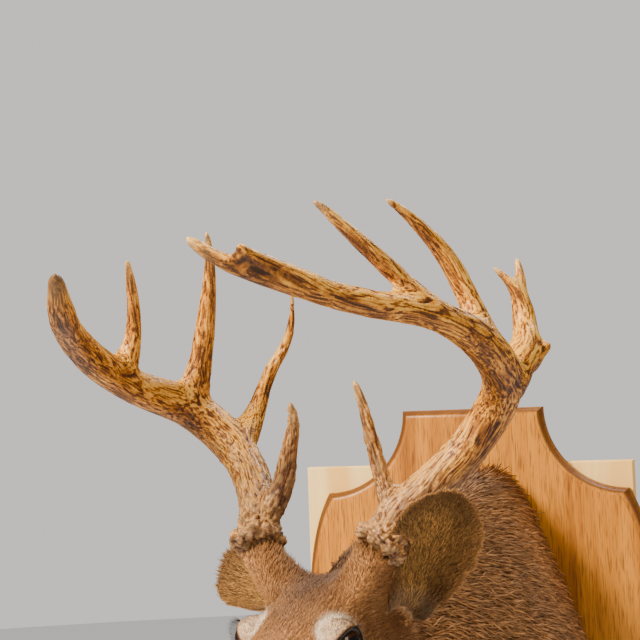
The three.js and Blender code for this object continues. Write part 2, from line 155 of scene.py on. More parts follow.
def copy_of_nodes(name, nodes):
    """One object with the merged meshes of some CAD nodes."""
    copies = []
    for node in nodes:
        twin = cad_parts[node].copy()
        twin.data = twin.data.copy()
        twin.parent = None
        bpy.context.collection.objects.link(twin)
        copies.append(twin)
    only(*copies)
    bpy.ops.object.join()
    item = bpy.context.object
    item.name = item.data.name = name
    item.matrix_world = Matrix.Identity(4)
    item.data.materials.clear()
    for key in [key for key in item.keys() if key.startswith("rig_")]:
        del item[key]
    bpy.ops.object.mode_set(mode="EDIT")
    bpy.ops.mesh.select_all(action="SELECT")
    bpy.ops.mesh.remove_doubles(threshold=1e-5)
    bpy.ops.object.mode_set(mode="OBJECT")
    return item


# %% Helpers for arrays
def read_all(items, key, kind, each=1):
    """One row of `each` numbers for every vertex, edge or face in `items`."""
    flat = np.empty(len(items) * each, kind)
    items.foreach_get(key, flat)
    return flat.reshape(-1, each) if each > 1 else flat


def places_of(mesh):
    return read_all(mesh.vertices, "co", np.float32, 3).astype(float)


def normals_of(mesh):
    return read_all(mesh.vertices, "normal", np.float32, 3).astype(float)


def edges_of(mesh):
    return read_all(mesh.edges, "vertices", np.int32, 2)


def move_to(mesh, places):
    mesh.vertices.foreach_set("co", places.astype(np.float32).ravel())
    mesh.update()


def evened(values, edges, times, share=0.5):
    """Mixes each point's value with its neighbours', times over."""
    one, two = edges.T
    count = len(values)
    columns = values.reshape(count, -1)
    around = np.bincount(one, minlength=count) + np.bincount(two, minlength=count)
    around = np.maximum(around, 1)
    for _ in range(times):
        total = np.stack(
            [np.bincount(one, c[two], count) + np.bincount(two, c[one], count) for c in columns.T], 1
        )
        columns = columns + share * (total / around[:, None] - columns)
    return columns.reshape(values.shape)


def unit(vectors):
    return vectors / np.maximum(np.linalg.norm(vectors, axis=-1, keepdims=True), 1e-12)


def ease(low, high, values):
    t = np.clip((values - low) / (high - low), 0, 1)
    return t * t * (3 - 2 * t)


def tree_of(points):
    tree = KDTree(len(points))
    for i, point in enumerate(points):
        tree.insert(point, i)
    tree.balance()
    return tree


def nearest(tree, points):
    return np.fromiter((tree.find(point)[1] for point in points), int, len(points))


def keep_value(mesh, name, values):
    layer = mesh.attributes.new(name, "FLOAT", "POINT")
    layer.data.foreach_set("value", np.asarray(values, np.float32))


print("helpers ready")

# %% [markdown]
# ## Finding the way round the head
# The face is easier to describe in its own directions than in the room's: how far out to the side, how
# far back from the nose and how high. The head is turned thirteen degrees to the deer's right and dips
# fifteen degrees, and the point midway between the burrs ties it to the room.

# %% The head's own directions
POLL = np.array([-62, -436, 133]) * MM  # midway between the burrs
POLL_IN_HEAD = np.array([0, 262, 78])  # out, back from the nose, up, in millimetres
LEVEL = np.array(Matrix.Rotation(math.radians(-13), 3, "Z"))
HEAD = LEVEL @ np.array(Matrix.Rotation(math.radians(15), 3, "X"))


def in_head(points):
    """Out to the deer's left, back from the nose and up, in millimetres."""
    return (points - POLL) @ HEAD / MM + POLL_IN_HEAD


def from_head(out, along, height):
    return POLL + HEAD @ ((np.array([out, along, height]) - POLL_IN_HEAD) * MM)


print("nose at", from_head(0, 0, -24).round(3), "poll at", POLL)

# %% [markdown]
# ## Growing the antlers
# In life an antler is one bone, with every tine flowing out of the beam in a web. The CAD model has it as
# plain tubes, split at the forks. Swelling the tubes by a few millimetres, turning them into one skin of
# small even squares, and shrinking that again fills every sharp inside corner and leaves the rest as it
# was. A sculptor would do the same with a clay tool.

# %% One surface for each antler
ANTLER_GRAIN = 1.15 * MM  # distance between points on the finished antler
ANTLER_DRAFT = 2.2 * MM  # and on the steps before it
OVERLAP = 0.5 * MM  # closes the hairline gaps between the CAD solids
WEB = 3.2 * MM  # how far the webs in the forks are filled


def antler_nodes(side):
    return sorted(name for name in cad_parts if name.startswith(f"antler_{side}"))


def swollen(item, depth):
    mesh = item.data
    move_to(mesh, places_of(mesh) + normals_of(mesh) * depth)


def resquared(item, grain, times):
    """Turns a mesh into one skin of even squares and evens its points out some times over."""
    with_modifier(item, "REMESH", mode="VOXEL", voxel_size=grain)
    move_to(item.data, evened(places_of(item.data), edges_of(item.data), times))


def fused_antler(side):
    item = copy_of_nodes(f"antler_{side}", antler_nodes(side))
    swollen(item, OVERLAP)
    resquared(item, ANTLER_DRAFT, 4)
    swollen(item, WEB)
    resquared(item, ANTLER_DRAFT, 2)
    swollen(item, -WEB - 0.1 * MM)
    resquared(item, ANTLER_GRAIN, 5)
    return item


antlers = {side: fused_antler(side) for side in ("left", "right")}
for side, antler in antlers.items():
    print(side, "antler has", len(antler.data.vertices), "points")

# %% [markdown]
# ## Which way the bone grew
# Blood vessels in the velvet ran from the burr to every tip and left grooves along their way. To draw
# such lines, each point needs to know which way is "onwards". The walking distance from the burr over a
# coarse copy of the surface gives that: it grows towards every tip, whichever way the tine bends.

# %% Distances and directions over the surface
TIP_REACH = 22 * MM  # a tip is further from the burr than anything this near to it
BURR_REACH = 24 * MM


def walk_from(starts, points, edges):
    """Shortest way along the edges from any start point to each point."""
    ways = [[] for _ in points]
    lengths = np.linalg.norm(points[edges[:, 0]] - points[edges[:, 1]], axis=1)
    for (a, b), long in zip(edges.tolist(), lengths):
        ways[a].append((b, long))
        ways[b].append((a, long))
    far = np.full(len(points), np.inf)
    far[starts] = 0
    queue = [(0.0, int(i)) for i in starts]
    while queue:
        so_far, i = heapq.heappop(queue)
        if so_far > far[i]:
            continue
        for j, long in ways[i]:
            if so_far + long < far[j]:
                far[j] = so_far + long
                heapq.heappush(queue, (far[j], j))
    return np.where(np.isfinite(far), far, far[np.isfinite(far)].max())


def growth_of(item, root):
    """For each point of the antler: the way it grew, its distance from the burr and from the nearest tip."""
    rough = item.copy()
    rough.data = item.data.copy()
    bpy.context.collection.objects.link(rough)
    with_modifier(rough, "REMESH", mode="VOXEL", voxel_size=4.5 * MM)
    points, edges = places_of(rough.data), edges_of(rough.data)
    bpy.data.objects.remove(rough)
    starts = np.nonzero(np.linalg.norm(points - root, axis=1) < BURR_REACH)[0]
    far = evened(walk_from(starts, points, edges), edges, 6)
    tree = tree_of(points)
    tips = [
        i for i, point in enumerate(points)
        if far[i] >= max(far[j] for _, j, _ in tree.find_range(point, TIP_REACH))
    ]
    from_tip = evened(walk_from(np.array(tips), points, edges), edges, 2)
    one, two = edges.T
    step = points[two] - points[one]
    climb = (far[two] - far[one])[:, None] * step / np.maximum((step**2).sum(1), 1e-12)[:, None]
    way = np.stack([np.bincount(one, c, len(far)) + np.bincount(two, c, len(far)) for c in climb.T], 1)
    way = unit(evened(unit(way), edges, 4))
    fine, fine_edges, up = places_of(item.data), edges_of(item.data), normals_of(item.data)
    spot = nearest(tree, fine)
    way = evened(way[spot], fine_edges, 6)
    way = unit(way - (way * up).sum(1)[:, None] * up)
    return way, evened(far[spot], fine_edges, 8), evened(from_tip[spot], fine_edges, 8), len(tips)


def middle_of(node):
    low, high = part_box(node)
    return np.array((low + high) / 2)


growth = {side: growth_of(antler, middle_of(f"antler_{side}_burr")) for side, antler in antlers.items()}
for side, (_, far, _, tips) in growth.items():
    print(side, "antler:", tips, "tips, longest way", round(far.max(), 3), "m")

# %% [markdown]
# ## Grooves and pearls
# The blood vessels of the velvet leave long, wavering grooves that run with the bone. Noise does not know
# which way a bone runs, but the surface does: going round a beam its outward direction turns full circle,
# and going along it hardly turns at all. Noise that is looked up by that direction is therefore drawn out
# along the bone. Where it crosses zero lies a thin line, and those lines are the grooves. They sink the
# surface, and the same values colour the bone later, because bark stain stays in the grooves. Near the
# burr the bone is covered in beads, called pearls.

# %% Lines along the bone
def half_thickness(item, points, up):
    """Half the bone's thickness under each point, felt by a ray straight in."""
    tree = BVHTree.FromObject(item, bpy.context.evaluated_depsgraph_get())
    skip, reach = 0.5 * MM, 60 * MM
    hits = (tree.ray_cast(Vector(p - skip * n), Vector(-n), reach)[3] for p, n in zip(points, up))
    return np.array([((hit or 0) + skip) / 2 for hit in hits])


def clouds(places, seed):
    noise.seed_set(seed)
    return np.array([noise.noise(place) for place in (places + seed * 3.7).tolist()])


def drawn_out(values, points, way, step=3 * MM, times=16):
    """Averages values over a short way along the bone, so that they hardly change along it."""
    tree = tree_of(points)
    ahead, behind = (nearest(tree, points + sign * step * way) for sign in (1, -1))
    for _ in range(times):
        values = 0.34 * values + 0.33 * (values[ahead] + values[behind])
    return values


def round_the_bone(item, points, up, far, way, edges):
    """A place in millimetres for each point that changes fast round the bone and slowly along it."""
    half = np.clip(evened(half_thickness(item, points, up), edges, 12), 3 * MM, 21 * MM)
    place = drawn_out(unit(evened(up, edges, 6)) * half[:, None] / MM, points, way)
    waver = np.stack([clouds(points / (24 * MM), seed) for seed in (3, 4, 5)], 1)
    return evened(place, edges, 2) + 2.6 * waver + np.outer(far / MM, (0.055, 0.0, -0.04))


def bell(values):
    return (values - values.mean(0)) / values.std(0)


def pearls(points, tree, far, way, reach, count):
    """Height of the beads near the burr, each one drawn out along the bone."""
    height = np.zeros(len(points))
    chance = np.exp(-((far / reach) ** 2))
    chance = chance / chance.sum()
    for i in rng.choice(len(points), count, replace=False, p=chance):
        size = rng.uniform(1.3, 2.3) * MM
        stretch = rng.uniform(1.3, 3.2)
        for spot, j, _ in tree.find_range(points[i], size * stretch):
            off = points[j] - points[i]
            along = float(off @ way[i])
            across = math.sqrt(max(float(off @ off) - along * along, 0))
            bump = 1 - (along / (size * stretch)) ** 2 - (across / size) ** 2
            if bump > 0:
                height[j] = max(height[j], 0.5 * size * bump**0.7)
    return height


KNOB = POLL + LEVEL @ (np.array([128, -180, 184]) * MM)  # a small lump under the left beam
WIDE_GROOVE, FINE_GROOVE = 5.2, 2.6  # how far apart the two kinds of groove are, in millimetres
PEARLS = 900


def carve(side):
    item = antlers[side]
    way, far, from_tip, _ = growth[side]
    points, edges, up = places_of(item.data), edges_of(item.data), normals_of(item.data)
    lines = round_the_bone(item, points, up, far, way, edges)
    wide = 1 - np.clip(np.abs(clouds(lines / WIDE_GROOVE, 1)) / 0.20, 0, 1)
    fine = 1 - np.clip(np.abs(clouds(lines / FINE_GROOVE, 2)) / 0.22, 0, 1)
    worn = 1 - np.exp(-from_tip / (30 * MM))
    deep = (0.62 * wide + 0.30 * fine) * MM * worn
    beads = pearls(points, tree_of(points), far, way, 70 * MM, PEARLS)
    burr = np.exp(-((far / (15 * MM)) ** 2))
    lumps = bell(evened(rng.standard_normal(len(points)), edges, 10)) * 1.2 * MM * burr
    knob = 6 * MM * np.exp(-((np.linalg.norm(points - KNOB, axis=1) / (7 * MM)) ** 2))
    move_to(item.data, points + up * (beads - deep + lumps + knob)[:, None])
    stain = 0.5 + 0.9 * clouds(points / (38 * MM), 6) + 0.5 * clouds(points / (11 * MM), 7)
    keep_value(item.data, "groove", np.clip(0.7 * wide + 0.4 * fine, 0, 1))
    layer = item.data.attributes.new("lines", "FLOAT_VECTOR", "POINT")
    layer.data.foreach_set("vector", lines.astype(np.float32).ravel())
    keep_value(item.data, "stain", np.clip(stain, 0, 1))
    keep_value(item.data, "base", np.exp(-((far / (105 * MM)) ** 2)))
    keep_value(item.data, "tip", np.exp(-from_tip / (13 * MM)))
    keep_value(item.data, "pearl", np.clip(beads / (1.5 * MM), 0, 1))


for side in antlers:
    carve(side)
    print(side, "antler carved")

# %% [markdown]
# ## Shared surface effects
# Two effects turn up in several finishes, so each is a node group that is made once. "Mottle" is a soft
# cloud of light and dark in the object's own space. "Long grain" is the same cloud drawn out along one
# direction, for timber.

# %% Node groups
def new_group(name, ins, outs):
    group = bpy.data.node_groups.new(name, "ShaderNodeTree")
    for label, kind, value in ins:
        socket = group.interface.new_socket(label, in_out="INPUT", socket_type=kind)
        socket.default_value = value
    for label, kind in outs:
        group.interface.new_socket(label, in_out="OUTPUT", socket_type=kind)
    return group, group.nodes.new("NodeGroupInput"), group.nodes.new("NodeGroupOutput")


def wire(tree, *pairs):
    for start, end in pairs:
        tree.links.new(start, end)


def new_node(tree, kind, **inputs):
    node = tree.nodes.new("ShaderNode" + kind)
    for label, value in inputs.items():
        node.inputs[label].default_value = value
    return node


def mottle_group():
    group, given, out = new_group(
        "Mottle",
        [("Scale", "NodeSocketFloat", 20.0), ("Sharpness", "NodeSocketFloat", 2.0)],
        [("Value", "NodeSocketFloat")],
    )
    place = new_node(group, "TexCoord")
    cloud = new_node(group, "TexNoise", Detail=5, Roughness=0.6)
    centre = new_node(group, "Math")
    centre.operation = "SUBTRACT"
    centre.inputs[1].default_value = 0.5
    push = new_node(group, "Math")
    push.operation = "MULTIPLY_ADD"
    push.use_clamp = True
    push.inputs[2].default_value = 0.5
    wire(
        group,
        (place.outputs["Object"], cloud.inputs["Vector"]),
        (given.outputs["Scale"], cloud.inputs["Scale"]),
        (cloud.outputs["Fac"], centre.inputs[0]),
        (centre.outputs[0], push.inputs[0]),
        (given.outputs["Sharpness"], push.inputs[1]),
        (push.outputs[0], out.inputs["Value"]),
    )
    return group


def long_grain_group():
    group, given, out = new_group(
        "Long grain",
        [("Stretch", "NodeSocketVector", (1, 1, 0.05)), ("Scale", "NodeSocketFloat", 60.0)],
        [("Figure", "NodeSocketFloat"), ("Pores", "NodeSocketFloat")],
    )
    place = new_node(group, "TexCoord")
    drawn = new_node(group, "VectorMath")
    drawn.operation = "MULTIPLY"
    figure = new_node(group, "TexNoise", Detail=3, Distortion=0.8)
    finer = new_node(group, "Math")
    finer.operation = "MULTIPLY"
    finer.inputs[1].default_value = 9
    pores = new_node(group, "TexNoise", Detail=2, Roughness=0.7)
    wire(
        group,
        (place.outputs["Object"], drawn.inputs[0]),
        (given.outputs["Stretch"], drawn.inputs[1]),
        (drawn.outputs[0], figure.inputs["Vector"]),
        (drawn.outputs[0], pores.inputs["Vector"]),
        (given.outputs["Scale"], figure.inputs["Scale"]),
        (given.outputs["Scale"], finer.inputs[0]),
        (finer.outputs[0], pores.inputs["Scale"]),
        (figure.outputs["Fac"], out.inputs["Figure"]),
        (pores.outputs["Fac"], out.inputs["Pores"]),
    )
    return group


MOTTLE, LONG_GRAIN = mottle_group(), long_grain_group()
print("node groups:", MOTTLE.name, LONG_GRAIN.name)


# %% Small builders for materials
class Finish:
    """A material with short ways to add and join nodes."""

    def __init__(self, name, roughness, **plain):
        self.material = bpy.data.materials.new(name)
        self.material.use_nodes = True
        self.tree = self.material.node_tree
        self.shader = self.tree.nodes["Principled BSDF"]
        self.shader.inputs["Roughness"].default_value = roughness
        for label, value in plain.items():
            self.shader.inputs[label.replace("_", " ")].default_value = value

    def feed(self, end, start):
        if isinstance(start, bpy.types.NodeSocket):
            self.tree.links.new(start, end)
        else:
            end.default_value = start

    def group(self, group, output=0, **values):
        node = new_node(self.tree, "Group")
        node.node_tree = group
        for label, value in values.items():
            node.inputs[label].default_value = value
        return node.outputs[output]

    def value(self, name, output="Fac"):
        node = new_node(self.tree, "Attribute")
        node.attribute_name = name
        return node.outputs[output]

    def weighted(self, *shares):
        """The sum of some values, each times its weight."""
        total = 0.0
        for value, weight in shares:
            total = self.sum("ADD", total, self.sum("MULTIPLY", value, weight))
        return total

    def ramp(self, factor, *stops):
        node = new_node(self.tree, "ValToRGB")
        self.feed(node.inputs["Fac"], factor)
        points = node.color_ramp.elements
        while len(points) < len(stops):
            points.new(0.5)
        for point, (place, colour) in zip(points, stops):
            point.position = place
            point.color = (*colour, 1)
        return node.outputs["Color"]

    def mix(self, factor, one, two, blend="MIX"):
        node = new_node(self.tree, "Mix")
        node.data_type = "RGBA"
        node.blend_type = blend
        self.feed(node.inputs["Factor"], factor)
        for end, start in ((node.inputs["A"], one), (node.inputs["B"], two)):
            self.feed(end, (*start, 1) if isinstance(start, tuple) else start)
        return node.outputs["Result"]

    def sum(self, operation, one, two, clamp=False):
        node = new_node(self.tree, "Math")
        node.operation = operation
        node.use_clamp = clamp
        self.feed(node.inputs[0], one)
        self.feed(node.inputs[1], two)
        return node.outputs[0]

    def rough(self, factor, low, high):
        node = new_node(self.tree, "MapRange", **{"To Min": low, "To Max": high})
        self.feed(node.inputs["Value"], factor)
        self.feed(self.shader.inputs["Roughness"], node.outputs["Result"])
        return self

    def bump(self, height, strength, distance):
        node = new_node(self.tree, "Bump", Strength=strength, Distance=distance)
        self.feed(node.inputs["Height"], height)
        self.feed(self.shader.inputs["Normal"], node.outputs["Normal"])
        return self

    def colour(self, socket):
        self.feed(self.shader.inputs["Base Color"], socket)
        return self


def dress(item, finish):
    item.data.materials.clear()
    item.data.materials.append(finish.material)
    return item


print("ready to paint")

# %% [markdown]
# ## The bone's colours
# Fresh antler is pale, and what colours it is sap, bark and weather. The grooves hold the darkest brown,
# the broad ridges go amber and honey, and wherever the buck rubbed, above all on the tips, the bone is
# polished to ivory. Painted shade keeps the undersides darker than the tops. The foot of the beam is greyer
# and redder. All of this is steered by the values that the carving left on the points, so the colour sits
# in the grooves.

# %% Antler finish
bone = Finish("antler bone", 0.5, IOR=1.5, Specular_IOR_Level=0.3)
hairlines = new_node(bone.tree, "TexNoise", Scale=0.62, Detail=3)
wire(bone.tree, (bone.value("lines", "Vector"), hairlines.inputs["Vector"]))
hairline = bone.ramp(
    hairlines.outputs["Fac"], (0.40, (1, 1, 1)), (0.49, (0.25, 0.25, 0.25)), (0.60, (0, 0, 0)),
)
specks = bone.group(MOTTLE, Scale=420.0, Sharpness=3.0)
shade = bone.weighted(
    (bone.value("groove"), 0.31),
    (bone.value("stain"), 0.19),
    (hairline, 0.40),
    (bone.sum("SUBTRACT", specks, 0.5), 0.14),
    # painted shade: the undersides of the bone are darkened
    (bone.sum("SUBTRACT", bone.value("under"), 0.62), 0.27),
)
amber = bone.ramp(
    shade,
    (0.05, (0.96, 0.50, 0.070)),
    (0.21, (0.66, 0.255, 0.019)),
    (0.38, (0.29, 0.094, 0.007)),
    (0.56, (0.105, 0.031, 0.003)),
    (0.85, (0.03, 0.009, 0.002)),
)
dull = bone.ramp(
    shade,
    (0.05, (0.50, 0.24, 0.080)),
    (0.18, (0.165, 0.070, 0.034)),
    (0.38, (0.070, 0.030, 0.018)),
    (0.90, (0.026, 0.012, 0.009)),
)
at_base = bone.sum("MULTIPLY", bone.value("base"), 0.9, clamp=True)
mixed = bone.mix(at_base, amber, dull)
mixed = bone.mix(bone.sum("MULTIPLY", bone.value("pearl"), 0.5, clamp=True), mixed, (0.66, 0.38, 0.14))
ivory = bone.ramp(specks, (0.2, (0.86, 0.62, 0.32)), (0.8, (0.68, 0.40, 0.14)))
mixed = bone.mix(bone.sum("MULTIPLY", bone.value("tip"), 0.5, clamp=True), mixed, ivory)
char = bone.ramp(specks, (0.3, (0.060, 0.026, 0.010)), (0.75, (0.17, 0.080, 0.028)))
bone.colour(bone.mix(bone.value("char"), mixed, char))
bone.rough(shade, 0.36, 0.66)
bone.bump(bone.sum("SUBTRACT", specks, hairline), 0.30, 0.5 * MM)

for side, antler in antlers.items():
    points = places_of(antler.data)
    blunt = points[points[:, 1] < points[:, 1].min() + 6 * MM].mean(0)
    near = np.exp(-((np.linalg.norm(points - blunt, axis=1) / (17 * MM)) ** 2))
    keep_value(antler.data, "char", near * (0.9 if side == "right" else 0))
    # painted shade: the under value is high where the smoothed normals point down
    facing = evened(normals_of(antler.data), edges_of(antler.data), 12)
    keep_value(antler.data, "under", ease(0.75, -0.65, facing[:, 2]))
    only(antler)
    bpy.ops.object.shade_smooth()
    dress(antler, bone)
    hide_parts(*antler_nodes(side))
    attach(antler, "root")
print("antlers dressed")

# %% [markdown]
# ## The shield
# The shield is one piece of walnut with its grain upright: a flat top, two hollows, full sides and a
# matching foot. A router ran round its edge and cut a moulding. Insetting the face in edit mode tangles the
# points in the hollows' sharp corners, so each step of the moulding is its own outline, worked out from the
# same sizes with the whole line moved inwards, and the outlines are joined by bands of faces.

# %% Cut the shield
SHIELD = {"top": 250, "bottom": -270, "lip": 80, "shoulder": 171, "hollow": 92, "belly": 211,
          "foot": 140, "heel": 58, "foot_hollow": 84, "back": -19.3}
MOULDING = [(0.6, 0.0), (0.0, 0.6), (0.0, 10.4), (0.5, 11.4), (1.6, 12.2), (2.6, 14.4), (4.4, 16.6),
            (6.6, 18.0), (8.4, 18.3), (8.8, 18.9), (9.6, 19.0)]  # how far in, and how far out from the back


def arc(centre, wide, tall, start, end, count=28):
    turns = np.linspace(start, end, count)
    return [(centre[0] + wide * math.cos(t), centre[1] + tall * math.sin(t)) for t in turns]


def shield_half(s, inset):
    """The right half of the outline from the middle of the top round to the middle of the foot."""
    wide, tall = s["shoulder"] - s["lip"] + inset, s["hollow"] + inset
    line = [(0, s["top"] - inset)]
    line += arc((s["shoulder"], s["top"]), wide, tall,
                math.pi + math.asin(inset / tall), 1.5 * math.pi - math.asin(inset / wide))
    start, foot = s["top"] - s["hollow"], s["bottom"] + s["foot_hollow"]
    for t in np.linspace(0, 1, 32):
        x = (1 - t) ** 3 * s["shoulder"] + 3 * t * (1 - t) * s["belly"] + t**3 * s["foot"]
        z = (1 - t) ** 3 * (start - inset) + 3 * t * (1 - t) ** 2 * (start - 70)
        z += -3 * t * t * (1 - t) * 70 + t**3 * (foot + inset)
        line.append((x - inset, z))
    wide, tall = s["foot"] - s["heel"] + inset, s["foot_hollow"] + inset
    line += arc((s["foot"], s["bottom"]), wide, tall,
                math.pi / 2 + math.asin(inset / wide), math.pi - math.asin(inset / tall))
    return line + [(0, s["bottom"] + inset)]


def shield_ring(inset, height):
    half = shield_half(SHIELD, inset)
    outline = half + [(-x, z) for x, z in reversed(half[1:-1])]
    return [(x * MM, (SHIELD["back"] - height) * MM, z * MM) for x, z in outline]


def painted_moulding_shade(inset, height):
    """How much painted shade darkens a step of the moulding: all in the hollow, less on the outer rim."""
    if 0.5 < inset < 5 or height == 0:
        return 1.0
    return 0.75 if inset < 0.6 else 0.0


rings = [shield_ring(*step) for step in MOULDING]
size = len(rings[0])
faces = [
    (r * size + i, r * size + (i + 1) % size, (r + 1) * size + (i + 1) % size, (r + 1) * size + i)
    for r in range(len(rings) - 1) for i in range(size)
]
faces += [tuple(range(size)), tuple(reversed(range((len(rings) - 1) * size, len(rings) * size)))]
mesh = bpy.data.meshes.new("walnut_shield")
mesh.from_pydata([point for ring in rings for point in ring], [], faces)
# painted shade on the sides and the hollow of the moulding, kept as the edge value
keep_value(mesh, "edge", np.repeat([painted_moulding_shade(*step) for step in MOULDING], size))
shield = bpy.data.objects.new("walnut_shield", mesh)
bpy.context.collection.objects.link(shield)
only(shield)
bpy.ops.object.mode_set(mode="EDIT")
bpy.ops.mesh.select_all(action="SELECT")
bpy.ops.mesh.normals_make_consistent(inside=False)
bpy.ops.object.mode_set(mode="OBJECT")
bpy.ops.object.shade_smooth_by_angle(angle=math.radians(35))
print("shield faces", len(shield.data.polygons), "thickness", round(shield.dimensions.y, 4))

# %% [markdown]
# ## Timber
# Walnut shows long dark pores and slow bands of lighter and darker wood, and its satin varnish is a clear
# coat over them. Pine is pale, with wider bands. Both come from the same grain effect, drawn out upright.

# %% Walnut and pine finishes
walnut = Finish("oiled walnut", 0.42, IOR=1.5, Specular_IOR_Level=0.25, Coat_Weight=0.08, Coat_Roughness=0.2)
figure = walnut.group(LONG_GRAIN, "Figure", Scale=34.0, Stretch=(1, 1, 0.045))
pores = walnut.group(LONG_GRAIN, "Pores", Scale=75.0, Stretch=(1, 1, 0.05))
bands = walnut.ramp(
    figure, (0.30, (0.29, 0.094, 0.008)), (0.47, (0.47, 0.165, 0.013)), (0.62, (0.62, 0.24, 0.022)),
    (0.75, (0.36, 0.120, 0.010)),
)
pore_mask = walnut.ramp(pores, (0.50, (0, 0, 0)), (0.66, (1, 1, 1)))
shaded = walnut.mix(walnut.sum("MULTIPLY", pore_mask, 0.75), bands, (0.13, 0.042, 0.008))
# painted shade: the edge value darkens the sides and the hollow of the moulding
walnut.colour(walnut.mix(walnut.sum("MULTIPLY", walnut.value("edge"), 0.8), shaded, (0.085, 0.028, 0.007)))
walnut.rough(pores, 0.30, 0.55).bump(pores, 0.12, 0.4 * MM)
dress(shield, walnut)
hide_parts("shield")
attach(shield, "root")

pine = Finish("pale pine", 0.6, IOR=1.48, Specular_IOR_Level=0.25)
figure = pine.group(LONG_GRAIN, "Figure", Scale=16.0, Stretch=(1, 1, 0.06))
pores = pine.group(LONG_GRAIN, "Pores", Scale=40.0, Stretch=(1, 1, 0.03))
bands = pine.ramp(figure, (0.35, (0.97, 0.64, 0.20)), (0.5, (1.0, 0.74, 0.30)), (0.63, (0.90, 0.52, 0.14)))
pine.colour(pine.mix(pine.sum("MULTIPLY", pores, 0.25), bands, (0.70, 0.42, 0.18)))
pine.bump(pores, 0.1, 0.3 * MM)
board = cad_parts["backing_board"]
board.data.materials.clear()
board.data.materials.append(pine.material)
print("timber finished")

# %% [markdown]
# ## One skin
# A mount is a tanned skin drawn over a foam form, so head, neck, shoulders and ears become one surface.
# The CAD solids are merged, turned into small squares and rounded where they meet, in the same way as the
# antlers. The eyeballs are merged too, for now: their bulge is what the lids are shaped from.

# %% Fuse the flesh
FLESH = ("shoulders", "neck", "head", "lower_jaw", "nose", "ear_left", "ear_right")
SKIN_GRAIN = 3.3 * MM  # distance between points on the skin
FILLET = 6.0 * MM  # how far the inside corners are filled


def fused_skin():
    item = copy_of_nodes("skin", FLESH + ("eye_left", "eye_right"))
    swollen(item, OVERLAP)
    for depth in (FILLET, -FILLET - 0.4 * MM):
        resquared(item, SKIN_GRAIN, 2)
        swollen(item, depth)
    with_modifier(item, "REMESH", mode="VOXEL", voxel_size=SKIN_GRAIN)
    return item


skin = fused_skin()
print("skin has", len(skin.data.vertices), "points")

# %% Tell the ears from the head
def gap_to(nodes, points):
    """How far each point is from the nearest of some CAD nodes."""
    corners, faces = [], []
    for node in nodes:
        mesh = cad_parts[node].data
        start = len(corners)
        corners += [corner.co.copy() for corner in mesh.vertices]
        faces += [[start + i for i in face.vertices] for face in mesh.polygons]
    tree = BVHTree.FromPolygons(corners, faces)
    return np.array([tree.find_nearest(point)[3] for point in points])


def read_value(mesh, name):
    return read_all(mesh.attributes[name].data, "value", np.float32).astype(float)


points, edges = places_of(skin.data), edges_of(skin.data)
to_ear = gap_to(("ear_left", "ear_right"), points)
to_head = gap_to(("head", "neck"), points)
ear_mask = evened(((to_ear < 5 * MM) & (to_ear < to_head - 1 * MM)).astype(float), edges, 2)
keep_value(skin.data, "ear", ear_mask)
print("ear points", int((ear_mask > 0.5).sum()))

# %% [markdown]
# ## Under the coat
# The CAD solids are the animal with its hair on. The skin lies deeper by the depth of the coat: hardly at
# all on the nose and the ears, a few millimetres on the face, a centimetre on the shoulders. Where the
# skin is tacked down behind the shield's face it only draws in sideways, so no gap opens there.

# %% Draw the skin in
COAT_DEPTH = ([0, 12, 30, 110, 170, 240, 290, 350, 500], [0.2, 0.3, 1.0, 1.8, 2.6, 3.5, 5.5, 8.5, 9.5])
BURRS = {side: middle_of(f"antler_{side}_burr") for side in ("left", "right")}
SHIELD_FACE = float(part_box("shoulders")[1][1])


def gaussian(values, width):
    return np.exp(-((values / width) ** 2))


def far_from(points, *places):
    return np.min([np.linalg.norm(points - place, axis=1) for place in places], axis=0)


soft, softer = evened(points, edges, 6), evened(points, edges, 45)
along = in_head(points)[:, 1]
body = ease(285, 345, along)[:, None]
points = soft + (softer - soft) * body * (1 - ear_mask[:, None])
before = places_of(skin.data)[:, 1]
points[:, 1] = np.where(before > SHIELD_FACE - 4 * MM, before, points[:, 1])
move_to(skin.data, points)
up = evened(normals_of(skin.data), edges, 3)
depth = np.interp(along, *COAT_DEPTH) * (1 - ear_mask) + 0.5 * ear_mask
depth = depth * ease(14 * MM, 34 * MM, far_from(points, *BURRS.values()))
pull = up * depth[:, None] * MM
pull[:, 1] *= 1 - ease(SHIELD_FACE - 60 * MM, SHIELD_FACE - 15 * MM, points[:, 1])
move_to(skin.data, points - pull)
print("coat depth from", depth.min().round(2), "to", depth.max().round(2), "mm")

# %% [markdown]
# ## Bones and muscles of the face
# Lofted hoops give a head like a wedge of cheese. A sculptor then presses and builds up a few places: the
# brow over the eye, the pit of the tear gland in front of it, the cheekbone, the hollow behind the lips.
# Each line below is one such touch, with its place, its reach and how far the surface moves.

# %% Model the face
TOUCHES = [  # name, out, along, height, reach out, along and up, and how far it rises, in millimetres
    ("brow", 49, 204, 40, 15, 26, 10, 6.0),
    ("tear gland", 42, 176, 10, 14, 13, 6, -4.5),
    ("cheekbone", 52, 182, -14, 16, 34, 8, 4.0),
    ("hollow of the cheek", 38, 128, -34, 14, 34, 14, -4.0),
    ("jaw muscle", 56, 238, -52, 16, 30, 26, 5.0),
    ("temple", 58, 238, 26, 12, 15, 12, -4.0),
    ("edge of the nasal bone", 22, 95, 12, 9, 55, 6, 2.2),
    ("side of the muzzle", 32, 95, -14, 9, 34, 12, -2.6),
    ("lip pad", 27, 32, -28, 10, 20, 10, 2.6),
    ("jaw bone", 30, 120, -66, 14, 55, 9, 2.5),
    ("furrow under the jaw", 0, 110, -80, 10, 50, 16, -4.0),
    ("forehead", 0, 225, 58, 24, 22, 12, 2.0),
]
points, up = places_of(skin.data), evened(normals_of(skin.data), edges, 2)
spots = in_head(points)
rise = np.zeros(len(points))
